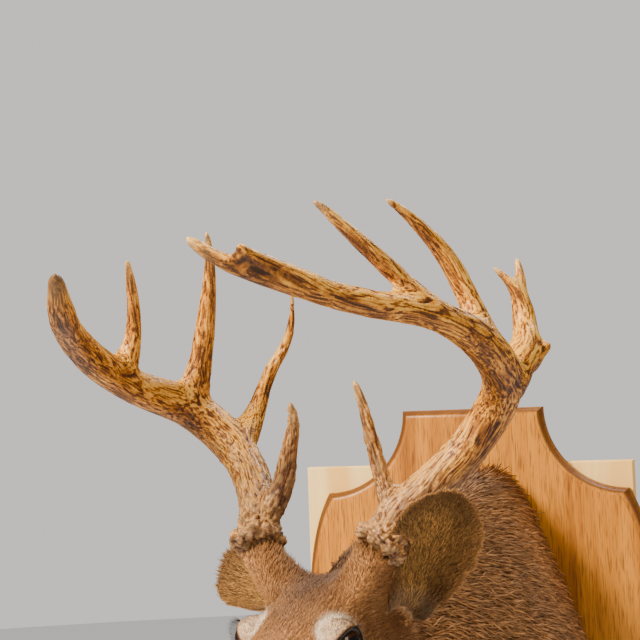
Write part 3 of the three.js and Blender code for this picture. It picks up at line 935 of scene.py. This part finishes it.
for _, out, along, height, wide, long, tall, amount in TOUCHES:
    for side in (1, -1) if out else (1,):
        off = (spots - (side * out, along, height)) / (wide, long, tall)
        rise += amount * np.exp(-((off**2).sum(1)))
move_to(skin.data, points + up * (rise * (1 - ear_mask))[:, None] * MM)
print(len(TOUCHES), "touches, rise from", rise.min().round(1), "to", rise.max().round(1), "mm")

# %% [markdown]
# ## Finer squares where the eye looks
# Lids, nostrils and lips need more points than a shoulder does. Only the faces round them are divided, so
# the skin stays light.

# %% Divide round the eyes, nose and mouth
MOUTH_END = 92


def mouth_height(along):
    return -37 - 0.045 * along


def refine(item, chosen):
    """Divides every face that has a chosen point."""
    mesh = item.data
    corner = read_all(mesh.loops, "vertex_index", np.int32)
    start = read_all(mesh.polygons, "loop_start", np.int32)
    picked = np.add.reduceat(chosen[corner].astype(int), start) > 0
    only(item)
    bpy.ops.object.mode_set(mode="EDIT")
    bpy.ops.mesh.select_mode(type="FACE")
    bpy.ops.mesh.select_all(action="DESELECT")
    bpy.ops.object.mode_set(mode="OBJECT")
    mesh.polygons.foreach_set("select", picked)
    bpy.ops.object.mode_set(mode="EDIT")
    bpy.ops.mesh.subdivide(number_cuts=1, smoothness=0)
    bpy.ops.object.mode_set(mode="OBJECT")


EYES = {side: middle_of(f"eye_{side}") for side in ("left", "right")}
EYE_RADIUS = 17.5 * MM
for reach in (1.0, 0.85):
    points = places_of(skin.data)
    out, along, height = in_head(points).T
    near_eye = far_from(points, *EYES.values()) < 31 * MM * reach
    near_nose = along < 20 * reach
    near_mouth = (along < MOUTH_END + 4) & (np.abs(height - mouth_height(along)) < 7 * reach)
    refine(skin, near_eye | near_nose | near_mouth)
    edges = edges_of(skin.data)
    move_to(skin.data, evened(places_of(skin.data), edges, 1))
print("skin now has", len(skin.data.vertices), "points")

# %% [markdown]
# ## Lids, nostrils and lips
# Seen from the middle of the eyeball, the opening is an almond that is longer towards the nose. Inside the
# almond the skin is pushed in behind the eye, its edge rests on the eye as a lid, and further out it fades
# into the face. Each nostril is a slanted pit, and the mouth a shallow groove that ends under the cheek.

# %% Open the eyes
LID_CLEAR = 19.3 * MM  # no skin lies closer to an eye's middle than this, so the glass never shows through
LID_SIZES = [0, 0.90, 1.0, 1.10, 1.22, 1.40, 1.7]  # places from the middle of the opening outwards
LID_REACH = [14, 14.5, 18.4, 19.6, 20.0, 19.4, 20.5]  # how far the skin is from the eye's middle there, mm


def eye_frame(side):
    """The way an eye looks, the way to its front corner, and up."""
    sign = 1 if side == "left" else -1
    look = unit(HEAD @ np.array([0.93 * sign, -0.34, 0.12]))
    forward = HEAD @ unit(np.array([0, -1, -0.2]))
    forward = unit(forward - look * (forward @ look))
    lift = np.cross(look, forward) * -sign
    return look, forward, lift * np.sign(lift @ HEAD[:, 2])


def almond(points, side):
    """Under 1 inside the opening of the lids, and how far each point is from the eye's middle."""
    look, forward, lift = eye_frame(side)
    away = points - EYES[side]
    far = np.linalg.norm(away, axis=1)
    way = away / far[:, None]
    ahead, high = way @ forward, way @ lift
    long = np.where(ahead > 0, 0.84, 0.74)
    tall = np.where(high > 0, 0.56, 0.48)
    size = np.hypot(ahead / long, high / tall)
    return np.where(way @ look > 0.05, size, 9), far, way


points = places_of(skin.data)
for side in EYES:
    size, far, way = almond(points, side)
    near = (size < 2.6) & (far < 36 * MM)
    lid = np.interp(size, LID_SIZES, LID_REACH) * MM
    share = np.maximum(ease(1.25, 2.2, size), ease(0.44, 0.12, way @ eye_frame(side)[0]))
    wanted = lid + (far - lid) * share
    points = np.where(near[:, None], EYES[side] + way * wanted[:, None], points)
for side in EYES:
    size, far, _ = almond(points, side)
    slack = ease(1.10, 1.45, size) * ease(46 * MM, 34 * MM, far)
    close = edges[(far[edges] < 52 * MM).all(1)]
    for _ in range(60):
        points = points + (evened(points, close, 1) - points) * slack[:, None]
        away = points - EYES[side]
        far = np.linalg.norm(away, axis=1)
        sunk = (size > 1.05) & (far < LID_CLEAR)
        points[sunk] += away[sunk] * (LID_CLEAR / far[sunk] - 1)[:, None]
move_to(skin.data, points)
print("lids shaped round", len(EYES), "eyes")

# %% Nostrils, lips and chin
points, up = places_of(skin.data), evened(normals_of(skin.data), edges, 2)
out, along, height = in_head(points).T
move = np.zeros((len(points), 3))
for sign in (1, -1):
    slant = (np.abs(out) - 15.5) * 0.5
    pit = np.hypot((out - sign * 15.5) / 6.2, (height + 20 - slant * sign * np.sign(out)) / 7.0)
    depth = 9 * np.exp(-(pit**3)) * ease(24, 10, along)
    move += depth[:, None] * (HEAD @ unit(np.array([-0.55 * sign, 0.8, 0.1])))
    move += (1.4 * np.exp(-(((pit - 1.45) / 0.35) ** 2)) * ease(20, 8, along))[:, None] * up
lip_line = gaussian(height - mouth_height(along), 1.9) * ease(MOUTH_END + 3, MOUTH_END - 12, along)
move -= (2.6 * lip_line)[:, None] * up
parting = gaussian(out, 1.3) * ease(-18, -26, height) * ease(12, 6, along)
move -= (1.2 * parting)[:, None] * up
chin = ease(mouth_height(0) + 1, mouth_height(0) - 6, height) * ease(34, 6, along)
move += (6.5 * chin)[:, None] * HEAD[:, 1]
points = points + move * MM
skinned = (along < 24) | (np.abs(height - mouth_height(along)) < 8) & (along < MOUTH_END)
points = np.where(skinned[:, None], evened(points, edges, 1), points)
move_to(skin.data, points)
bpy.ops.object.select_all(action="DESELECT")
only(skin)
bpy.ops.object.shade_smooth()
print("face finished")

# %% [markdown]
# ## Markings
# A whitetail's face is brown, with white round the eye, behind the nose, on the chin and under the throat,
# and a dark blaze down the forehead. Each marking is one value on every point of the skin. The hair is
# rooted in the same points, so skin and coat always agree.

# %% Which ear, and which side of it
EAR_ROOT = {"left": (56, 62, -58), "right": (-54, 60, -60)}  # from the poll in the level head: left, back, up
EAR_TIP = {"left": (152, -36, 54), "right": (-176, 112, -18)}
EAR_OPENS = {"left": (0.49, -0.87, -0.06), "right": (-0.1, -0.85, 0.4)}
EAR_HALF = [17, 21, 30, 38, 44, 46, 43, 34, 10]  # half the width, from root to tip


def ear_frame(side):
    root = POLL + LEVEL @ (np.array(EAR_ROOT[side]) * MM)
    axis = POLL + LEVEL @ (np.array(EAR_TIP[side]) * MM) - root
    length = np.linalg.norm(axis)
    axis = axis / length
    opens = LEVEL @ np.array(EAR_OPENS[side])
    opens = unit(opens - axis * (opens @ axis))
    return root, axis, length, opens


def in_ear(points, side):
    """Share of the way to the tip, angle round the cup, and the middle of the cup there."""
    root, axis, length, opens = ear_frame(side)
    share = np.clip((points - root) @ axis / length, 0, 1)
    half = np.interp(share, np.linspace(0, 1, len(EAR_HALF)), EAR_HALF) * MM
    middle = root + share[:, None] * axis * length + 0.8 * half[:, None] * opens
    off = points - middle
    return share, np.arctan2(off @ np.cross(opens, axis), -off @ opens), middle


points, edges, up = places_of(skin.data), edges_of(skin.data), normals_of(skin.data)
spots = in_head(points)
out, along, height = spots.T
wide = np.abs(out)
ear = np.clip(read_value(skin.data, "ear"), 0, 1)
left_ear = (points - POLL) @ LEVEL[:, 0] > 0
ear_share, ear_angle, inside = np.zeros(len(points)), np.zeros(len(points)), np.zeros(len(points))
for side, mine in (("left", left_ear), ("right", ~left_ear)):
    share, angle, middle = in_ear(points, side)
    facing = (unit(middle - points) * up).sum(1)
    ear_share = np.where(mine, share, ear_share)
    ear_angle = np.where(mine, angle, ear_angle)
    inside = np.where(mine, facing, inside)
inner = evened(ease(-0.1, 0.35, inside) * ease(0.4, 0.7, ear), edges, 1)
print("inner ear points", int((inner > 0.5).sum()))

# %% Values for every marking
ragged = bell(evened(rng.standard_normal(len(points)), edges, 14))  # makes the borders uneven


def patch(centre, reach, both_sides=True):
    place = np.stack([wide if both_sides else out, along, height], 1)
    return np.exp(-((((place - centre) / reach) ** 2).sum(1)) * (1 + 0.12 * ragged))


to_eye = far_from(points, *EYES.values()) / MM
under_mouth = ease(mouth_height(along) + 1, mouth_height(along) - 4, height)
skull = 1 - ease(300, 350, along)
bare = ease(15, 11, along + 0.5 * ragged) * ease(-37, -32, height)
lids = np.zeros(len(points))
for side in EYES:
    size, far, _ = almond(points, side)
    lids = np.maximum(lids, ease(1.30, 1.12, size) * (far < 24 * MM))
nose_band = ease(34, 22, along + 2 * ragged) * ease(12, 16, along) * (0.55 + 0.45 * ease(6, 14, wide))
white = np.maximum.reduce([
    0.85 * gaussian(to_eye - 22, 3.2) * ease(0.2, 0.0, lids) * ease(150, 172, along),
    nose_band,
    under_mouth * ease(100, 55, along + 6 * ragged),
    ease(-78, -96, height + 5 * ragged) * ease(120, 170, along) * ease(345, 300, along),
    0.9 * patch((20, 300, -112), (32, 42, 30)),
    0.15 * inner * ease(0.22, 0.04, ear_share),
])
dark = np.maximum.reduce([
    0.85 * patch((0, 225, 60), (32, 52, 26)),
    0.55 * patch((0, 90, 14), (20, 70, 14)),
    0.9 * patch((24, 36, -46), (12, 11, 7)),
    0.55 * gaussian(out, 36) * ease(-40, 30, height) * ease(280, 330, along),
    0.5 * ease(-40 * MM, -190 * MM, points[:, 2]) * ease(350, 420, along),
])
wide_inner = evened(inner, edges, 5)
rim = np.clip(5 * wide_inner * (1 - wide_inner) - 0.25, 0, 1) * ear * ease(0.15, 0.35, ear_share)
tan = np.maximum(ear * (1 - inner) * 0.35, rim)
streak = ear * inner * gaussian(ear_angle - 0.15, 0.55) * ease(0.95, 0.55, ear_share)
white, dark, tan = (np.clip(evened(values, edges, 2), 0, 1) for values in (white * (1 - bare), dark, tan))
dark = dark * (1 - white)
inner_hair = inner * (1 - rim)
MARKINGS = {"white": white, "dark": dark, "tan": tan, "inner": inner_hair, "streak": streak}
for name, values in {**MARKINGS, "bare": bare, "lids": lids}.items():
    keep_value(skin.data, name, values)
keep_value(skin.data, "lip", gaussian(height - mouth_height(along), 2.4) * ease(MOUTH_END + 3, 80, along))
print("markings on", len(points), "points")

# %% [markdown]
# ## The lie of the coat
# Hair never stands at random. It runs back from the nose, parts round the eyes, sweeps up the forehead to
# the pedicles, down the neck, and falls towards the brisket. Each point of the skin gets a direction, a
# length and a width for the hair that grows there.

# %% Directions, lengths and widths
def towards(vector):
    return np.broadcast_to(unit(np.array(vector, float)), points.shape)


back = HEAD[:, 1]
flow = np.broadcast_to(back, points.shape) + 0.25 * HEAD[:, 2] * ease(60, 20, wide)[:, None] * skull[:, None]
flow = flow - 0.35 * HEAD[:, 2] * ease(-30, -70, height)[:, None] * skull[:, None]
down_neck = towards((0.28, 1.0, -0.42))
down_front = towards((0.1, 0.35, -1.0))
low = ease(0.02, -0.16, points[:, 2]) * ease(0.3, -0.5, up[:, 1])
trunk = down_neck + (down_front - down_neck) * low[:, None]
flow = flow + (trunk - flow) * ease(270, 380, along)[:, None]
for side in EYES:
    away = points - EYES[side]
    flow = flow + 0.9 * unit(away) * gaussian(np.linalg.norm(away, axis=1), 30 * MM)[:, None]
for side, burr in BURRS.items():
    away = points - burr
    rise_to_burr = gaussian(np.linalg.norm(away, axis=1), 34 * MM)[:, None]
    flow = flow + 1.6 * (HEAD[:, 2] + 0.2 * back) * rise_to_burr
for side, mine in (("left", left_ear), ("right", ~left_ear)):
    _, axis, _, opens = ear_frame(side)
    across = np.cross(opens, axis)
    fan = axis + across * (0.55 * np.sin(ear_angle))[:, None]
    flow = np.where((mine & (ear > 0.4))[:, None], fan, flow)
flow = evened(unit(flow), edges, 3)
flow = unit(flow - (flow * up).sum(1)[:, None] * up)
hair = np.interp(along, [10, 40, 110, 180, 250, 300, 350, 460, 640], [2.4, 3.6, 5.5, 7.0, 9, 14, 22, 27, 30])
hair = np.where(ear > 0.5, np.interp(ear_share, [0, 0.3, 1], [8, 5.5, 4.5]) * (1 - 0.65 * rim), hair)
hair = hair * (1 - 0.45 * gaussian(to_eye - 20, 6)) + 5 * under_mouth * skull * ease(20, 40, along) * 0.4
print("hair from", hair.min().round(1), "to", hair.max().round(1), "mm long")

# %% [markdown]
# ## Making tufts
# A tuft is a few hairs that cling together: a flat little cone with three sides that leaves the skin at a
# slant, bends over halfway and ends in a point. Tens of thousands of them are made at once as arrays and
# become one mesh for each part of the coat. Each tuft remembers where on the skin it is rooted.

# %% Choose the roots
SHIELD_FRONT = (SHIELD["back"] - MOULDING[-1][1] - 0.3) * MM  # hair is pressed flat against the shield
skin.data.calc_loop_triangles()
SKIN_TRIS = read_all(skin.data.loop_triangles, "vertices", np.int32, 3)
print("skin triangles", len(SKIN_TRIS))
a, b, c = (points[SKIN_TRIS[:, k]] for k in range(3))
TRI_AREA = np.linalg.norm(np.cross(b - a, c - a), axis=1) / 2


def roots_on(mask, count):
    """Evenly scattered roots where the mask is, as triangles and the share of each corner."""
    weight = np.cumsum(TRI_AREA * mask[SKIN_TRIS].mean(1))
    dart = (np.arange(count) + rng.random(count)) / count * weight[-1]
    tri = SKIN_TRIS[np.minimum(np.searchsorted(weight, dart), len(SKIN_TRIS) - 1)]
    one, two = np.sqrt(rng.random(count)), rng.random(count)
    return tri, np.stack([1 - one, one * (1 - two), one * two], 1)


def at_roots(values, tri, share):
    picked = values[tri]
    return (picked * (share if values.ndim == 1 else share[:, :, None])).sum(1)


print("skin area", round(float(TRI_AREA.sum()), 3), "square metres")

# %% Where each root lies on the unwrapped skin
NECK_SPINE = [
    (-0.034, -0.322, 0.029), (-0.005, -0.215, 0.0), (0.013, -0.095, -0.029), (0.015, -0.038, -0.024),
]
SPINE = np.array([from_head(0, s, -34) for s in np.linspace(0, 300, 16)] + NECK_SPINE)
SPINE_WAY = np.concatenate([[0], np.cumsum(np.linalg.norm(np.diff(SPINE, axis=0), axis=1))])
BODY_PATCH, EAR_PATCH = 0.78, 0.18  # widths of the two strips of the unwrap


def unwrapped(places, share, angle, is_ear, is_left, is_inner):
    """The body is unrolled round its spine, and each side of each ear has a strip of its own."""
    fine = np.linspace(0, SPINE_WAY[-1], 160)
    line = np.stack([np.interp(fine, SPINE_WAY, SPINE[:, k]) for k in range(3)], 1)
    spot = nearest(tree_of(line), places)
    off = places - line[spot]
    turn = np.arctan2(off[:, 0], off[:, 2]) / (2 * math.pi) + 0.5
    u = 0.01 + BODY_PATCH * turn
    v = 0.01 + 0.98 * fine[spot] / SPINE_WAY[-1] * 0.99
    strip = 0.25 * (is_left * 1 + is_inner * 2)
    u = np.where(is_ear, 0.81 + EAR_PATCH * (angle / (2 * math.pi) + 0.5), u)
    v = np.where(is_ear, 0.01 + strip + 0.23 * share, v)
    return np.stack([u, v], 1)


print("spine length", round(float(SPINE_WAY[-1]), 3), "m")

# %% Grow the tufts
TUFT_PATCH = 0.003


def tufts_at(name, tri, share, thick, lift, fall=10, wander=9, long=1.0, slim=False):
    """One mesh of tufts. Slim ones are single cones, for short hair; the others bend over halfway."""
    count = len(tri)
    root, normal = at_roots(points, tri, share), unit(at_roots(up, tri, share))
    along_skin = at_roots(flow, tri, share)
    along_skin = unit(along_skin - (along_skin * normal).sum(1)[:, None] * normal)
    side = np.cross(normal, along_skin)
    swing = np.radians(wander) * rng.standard_normal(count)[:, None]
    way = along_skin * np.cos(swing) + side * np.sin(swing)
    side = np.cross(normal, way)
    uneven = (1 + 0.22 * rng.standard_normal(count)).clip(0.5, 1.5)
    length = at_roots(hair, tri, share) * long * uneven * MM
    width = thick * (0.75 + 0.5 * rng.random(count)) * MM
    rise = np.radians(lift * (0.7 + 0.6 * rng.random(count)))[:, None]
    settle = np.radians(fall * (0.4 + 1.2 * rng.random(count)))[:, None]
    start = root - 0.5 * MM * normal
    bend = start + length[:, None] * 0.5 * (way * np.cos(rise) + normal * np.sin(rise))
    tip = bend + length[:, None] * 0.5 * (way * np.cos(settle) + normal * np.sin(settle))
    for end in (bend, tip):
        end[:, 1] = np.minimum(end[:, 1], SHIELD_FRONT)
    return mesh_of_tufts(name, *cones(start, bend, tip, side, normal, width, slim), tri, share)


def cones(start, bend, tip, side, normal, width, slim):
    """Corners of three-sided cones, one row for each cone, and the faces of one of them."""
    corners = []
    for place, girth in [(start, 0.42)] if slim else [(start, 0.34), (bend, 0.5)]:
        for turn in (math.pi / 2, math.pi * 7 / 6, math.pi * 11 / 6):
            ring = side * math.cos(turn) + 0.55 * normal * math.sin(turn)
            corners.append(place + ring * (girth * width)[:, None])
    pattern = [(0, 2, 1)]
    for k in range(3):
        after = (k + 1) % 3
        if slim:
            pattern.append((k, after, 3))
        else:
            pattern += [(k, after, 3 + after), (k, 3 + after, 3 + k), (3 + k, 3 + after, 6)]
    return np.stack(corners + [tip], 1), np.array(pattern)


def mesh_of_tufts(name, corners, pattern, tri, share):
    count, each = corners.shape[:2]
    faces = (pattern[None] + (np.arange(count) * each)[:, None, None]).reshape(-1, 3)
    mesh = bpy.data.meshes.new(name)
    mesh.vertices.add(count * each)
    mesh.loops.add(faces.size)
    mesh.polygons.add(len(faces))
    mesh.vertices.foreach_set("co", corners.astype(np.float32).ravel())
    mesh.loops.foreach_set("vertex_index", faces.astype(np.int32).ravel())
    mesh.polygons.foreach_set("loop_start", np.arange(0, faces.size, 3, dtype=np.int32))
    mesh.polygons.foreach_set("use_smooth", np.ones(len(faces), bool))
    mesh.update()
    mesh.validate()
    height = {4: [0, 0, 0, 1], 7: [0, 0, 0, 0.5, 0.5, 0.5, 1]}[each]
    keep_value(mesh, "tuft", np.tile(height, count))
    keep_value(mesh, "strand", np.repeat(rng.random(count), each))
    for marking, values in MARKINGS.items():
        keep_value(mesh, marking, np.repeat(at_roots(values, tri, share), each))
    first = tri[:, 0]
    spot = unwrapped(at_roots(points, tri, share), ear_share[first], ear_angle[first], ear[first] > 0.5,
                     left_ear[first], inner[first] > 0.5)
    square = {4: [(0, 0), (1, 0), (0.5, 0.5), (0.5, 1)],
              7: [(0, 0), (1, 0), (0.5, 0.2), (0, 0.6), (1, 0.6), (0.5, 0.8), (0.5, 1)]}[each]
    uv = spot[:, None] + (np.array(square) - 0.5) * TUFT_PATCH
    layer = mesh.uv_layers.new(name="OFBake")
    layer.data.foreach_set("uv", uv.reshape(-1, 2)[faces.ravel()].astype(np.float32).ravel())
    item = bpy.data.objects.new(name, mesh)
    bpy.context.collection.objects.link(item)
    return item


print("tuft maker ready")

# %% The coat, part by part
not_ear, on_ear = ease(0.5, 0.3, ear), ease(0.4, 0.6, ear)
off_shield = ease(SHIELD_FACE + 0.2 * MM, SHIELD_FACE - 2 * MM, points[:, 1]) * (up[:, 1] < 0.9)
furry = (1 - np.clip(1.2 * bare, 0, 1)) * ease(0.5, 0.2, lids) * off_shield
far_back = ease(-0.215, -0.205, points[:, 1])
face = ease(322, 316, along)
upper = ease(-0.035, -0.025, points[:, 2])
behind_face = (1 - face) * not_ear * furry
trunk_hair = dict(thick=2.7, lift=26)
neck_hair = dict(thick=2.0, lift=27)
COATS = {
    "coat_shoulders_upper": (behind_face * far_back * upper, 17500, trunk_hair),
    "coat_shoulders_lower": (behind_face * far_back * (1 - upper), 19500, trunk_hair),
    "coat_neck_upper": (behind_face * (1 - far_back) * upper, 17500, dict(wander=15, **neck_hair)),
    "coat_neck_lower": (behind_face * (1 - far_back) * (1 - upper), 17500, dict(wander=14, **neck_hair)),
    "coat_face": (face * not_ear * furry, 48500, dict(thick=1.25, lift=20, slim=True)),
    "coat_ears": (on_ear * (1 - inner), 21000, dict(thick=1.0, lift=12, slim=True)),
    "coat_inner_ears": (on_ear * inner_hair, 15000, dict(thick=0.62, lift=15, fall=4, long=2.0)),
}
coats = []
for name, (mask, count, kind) in COATS.items():
    coats.append(tufts_at(name, *roots_on(mask, count), **kind))
    print(name, len(coats[-1].data.polygons), "faces")

# %% [markdown]
# ## Lashes and whiskers
# A buck has long dark lashes on the upper lid, and a few stiff whiskers on the lips and chin. They are
# single hairs, placed one by one along the lid and scattered over the muzzle.

# %% Place lashes and whiskers
LASHES, WHISKERS = 46, 90


def single_hairs(name, start, way, droop, length, thick):
    """Stiff hairs that leave the skin along `way` and bend towards `droop`."""
    way, tip_way = unit(way), unit(way + droop)
    bend = start + way * length[:, None] * 0.5
    tip = bend + tip_way * length[:, None] * 0.5
    side = unit(np.cross(way, droop + 1e-6))
    width = np.full(len(start), thick)
    own = nearest(tree_of(points), start)
    tri, share = np.repeat(own[:, None], 3, 1), np.tile([1.0, 0, 0], (len(start), 1))
    shape = cones(start, bend, tip, side, np.cross(side, way), width, False)
    return mesh_of_tufts(name, *shape, tri, share)


singles = []
for side in EYES:
    look, forward, lift = eye_frame(side)
    turn = np.radians(np.linspace(20, 165, LASHES) + rng.uniform(-1.5, 1.5, LASHES))
    ahead, high = 0.84 * np.cos(turn), 0.60 * np.sin(turn)
    way = np.outer(ahead, forward) + np.outer(high, lift)
    way = way + np.outer(np.sqrt(1 - ahead**2 - high**2), look)
    start = EYES[side] + way * 19.4 * MM
    out_way = look + 0.35 * lift + 0.35 * np.outer(np.cos(turn), forward)
    droop = np.broadcast_to(0.45 * lift, way.shape)
    length = (7 + 3.5 * np.sin(turn) + rng.uniform(-1, 1, LASHES)) * MM
    singles.append(single_hairs(f"lashes_{side}", start, out_way, droop, length, 0.55 * MM))
muzzle = ease(14, 22, along) * ease(75, 45, along) * ease(8, 16, wide) * ease(2, -14, height) * (1 - bare)
tri, share = roots_on(muzzle, WHISKERS)
start, outward = at_roots(points, tri, share), unit(at_roots(up, tri, share))
droop = 0.5 * back + 0.15 * rng.standard_normal((WHISKERS, 3)) - (0, 0, 0.35)
length = rng.uniform(14, 34, WHISKERS) * MM
singles.append(single_hairs("whiskers", start, outward + 0.25 * back, droop, length, 0.38 * MM))
print([item.name for item in singles])

# %% [markdown]
# ## Colours of the hair
# A single deer hair is grey at the root, brown along its length, and has a pale band just below a dark tip.
# That banding gives the coat its pepper-and-salt depth, so the colour follows the position along each tuft,
# and then differs a little from tuft to tuft.

# %% Hair and skin finishes
HAIR_KINDS = [  # colour at the root, where the middle is, its colour, and the colour at the tip
    ((0.035, 0.018, 0.010), 0.6, (0.135, 0.062, 0.026), (0.07, 0.032, 0.015)),  # deep
    ((0.42, 0.33, 0.23), 0.5, (0.78, 0.69, 0.55), (0.86, 0.79, 0.67)),  # pale
    ((0.13, 0.06, 0.022), 0.5, (0.42, 0.21, 0.075), (0.62, 0.36, 0.14)),  # straw
    ((0.045, 0.024, 0.010), 0.55, (0.15, 0.070, 0.022), (0.44, 0.225, 0.068)),  # olive
    ((0.10, 0.050, 0.016), 0.5, (0.46, 0.235, 0.062), (0.88, 0.53, 0.18)),  # golden
]


def hair_finish(name, roughness, has_tufts):
    finish = Finish(name, roughness, IOR=1.45, Specular_IOR_Level=0.3)
    cloud = finish.group(MOTTLE, Scale=16.0, Sharpness=2.2)
    if has_tufts:
        at = finish.value("tuft")
        own = finish.value("strand")
    else:
        at = finish.group(MOTTLE, Scale=500.0, Sharpness=2.0)
        own = finish.group(MOTTLE, Scale=180.0, Sharpness=2.0)
    brown = finish.ramp(
        at, (0.0, (0.10, 0.047, 0.020)), (0.45, (0.33, 0.150, 0.052)), (0.75, (0.56, 0.285, 0.105)),
        (0.93, (0.30, 0.132, 0.046)), (1.0, (0.11, 0.047, 0.018)),
    )
    deep, pale, straw, olive, golden = (
        finish.ramp(at, (0.0, root), (middle, body), (1.0, end)) for root, middle, body, end in HAIR_KINDS
    )
    mixed = finish.mix(finish.value("dark"), brown, deep)
    mixed = finish.mix(finish.value("tan"), mixed, straw)
    blond = finish.sum("MULTIPLY", finish.value("streak"), own)
    ear_hair = finish.mix(finish.sum("MULTIPLY", blond, 1.5, clamp=True), olive, golden)
    mixed = finish.mix(finish.value("inner"), mixed, ear_hair)
    mixed = finish.mix(finish.value("white"), mixed, pale)
    light = finish.ramp(
        own, (0.0, (0.60, 0.57, 0.54)), (0.5, (0.98, 0.96, 0.94)), (1.0, (1.45, 1.38, 1.28)),
    )
    mixed = finish.mix(1.0, mixed, light, "MULTIPLY")
    patchy = finish.ramp(cloud, (0.1, (0.80, 0.79, 0.78)), (0.9, (1.12, 1.10, 1.06)))
    return finish, finish.mix(1.0, mixed, patchy, "MULTIPLY")


hide, colour = hair_finish("hide", 0.62, False)
cells = new_node(hide.tree, "TexVoronoi", Scale=620)
wire(hide.tree, (new_node(hide.tree, "TexCoord").outputs["Object"], cells.inputs["Vector"]))
leather = hide.ramp(cells.outputs["Distance"], (0.0, (0.030, 0.024, 0.021)), (0.8, (0.006, 0.005, 0.005)))
dark_skin = hide.sum("MAXIMUM", hide.value("lids"), hide.value("lip"))
dark_skin = hide.sum("MAXIMUM", hide.value("bare"), dark_skin)
hide.colour(hide.mix(dark_skin, colour, leather))
hide.rough(dark_skin, 0.7, 0.30)
hide.bump(cells.outputs["Distance"], 0.35, 0.5 * MM)
dress(skin, hide)
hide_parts(*FLESH)
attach(skin, "root")

pelt, colour = hair_finish("hair", 0.58, True)
pelt.colour(colour)
for coat in coats:
    dress(coat, pelt)
    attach(coat, "root")
lash = Finish("lashes", 0.45, IOR=1.5)
lash.colour(lash.ramp(lash.value("strand"), (0.0, (0.010, 0.007, 0.005)), (1.0, (0.045, 0.028, 0.018))))
for item in singles:
    dress(item, lash)
    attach(item, "root")
print("coat dressed")

# %% [markdown]
# ## Glass eyes
# A taxidermist sets glass eyes: a dark brown iris, a wide level pupil and a clear domed front that catches
# the window. Each one is a ball of fine faces with its front drawn out a little, and a thin clear coat.

# %% Set the eyes
glass = Finish("glass eye", 0.10, IOR=1.45, Specular_IOR_Level=0.3, Coat_Weight=0.4, Coat_Roughness=0.02)
iris = glass.ramp(
    glass.value("iris"),
    (0.0, (0.003, 0.002, 0.002)),
    (0.40, (0.004, 0.003, 0.002)),
    (0.48, (0.040, 0.015, 0.005)),
    (0.78, (0.022, 0.009, 0.003)),
    (0.92, (0.006, 0.004, 0.003)),
)
flecks = glass.group(MOTTLE, Scale=900.0, Sharpness=2.5)
glass.colour(glass.mix(glass.sum("MULTIPLY", flecks, 0.35), iris, (0.012, 0.006, 0.003)))
for side, middle in EYES.items():
    look, forward, lift = eye_frame(side)
    bpy.ops.mesh.primitive_uv_sphere_add(segments=64, ring_count=40, radius=EYE_RADIUS, location=(0, 0, 0))
    eye = bpy.context.object
    eye.name = eye.data.name = f"glass_eye_{side}"
    way = unit(places_of(eye.data))
    dome = 0.9 * MM * ease(0.72, 0.95, way[:, 2])
    turned = way @ np.stack([forward, np.cross(look, forward), look])
    move_to(eye.data, middle + turned * (EYE_RADIUS + dome - 0.3 * MM)[:, None])
    level, high = turned @ forward, turned @ lift
    keep_value(eye.data, "iris", np.clip(np.hypot(level / 0.62, high / 0.46) * 0.62, 0, 1))
    only(eye)
    bpy.ops.object.shade_smooth()
    dress(eye, glass)
    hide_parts(f"eye_{side}")
    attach(eye, "root")
print("eyes set")
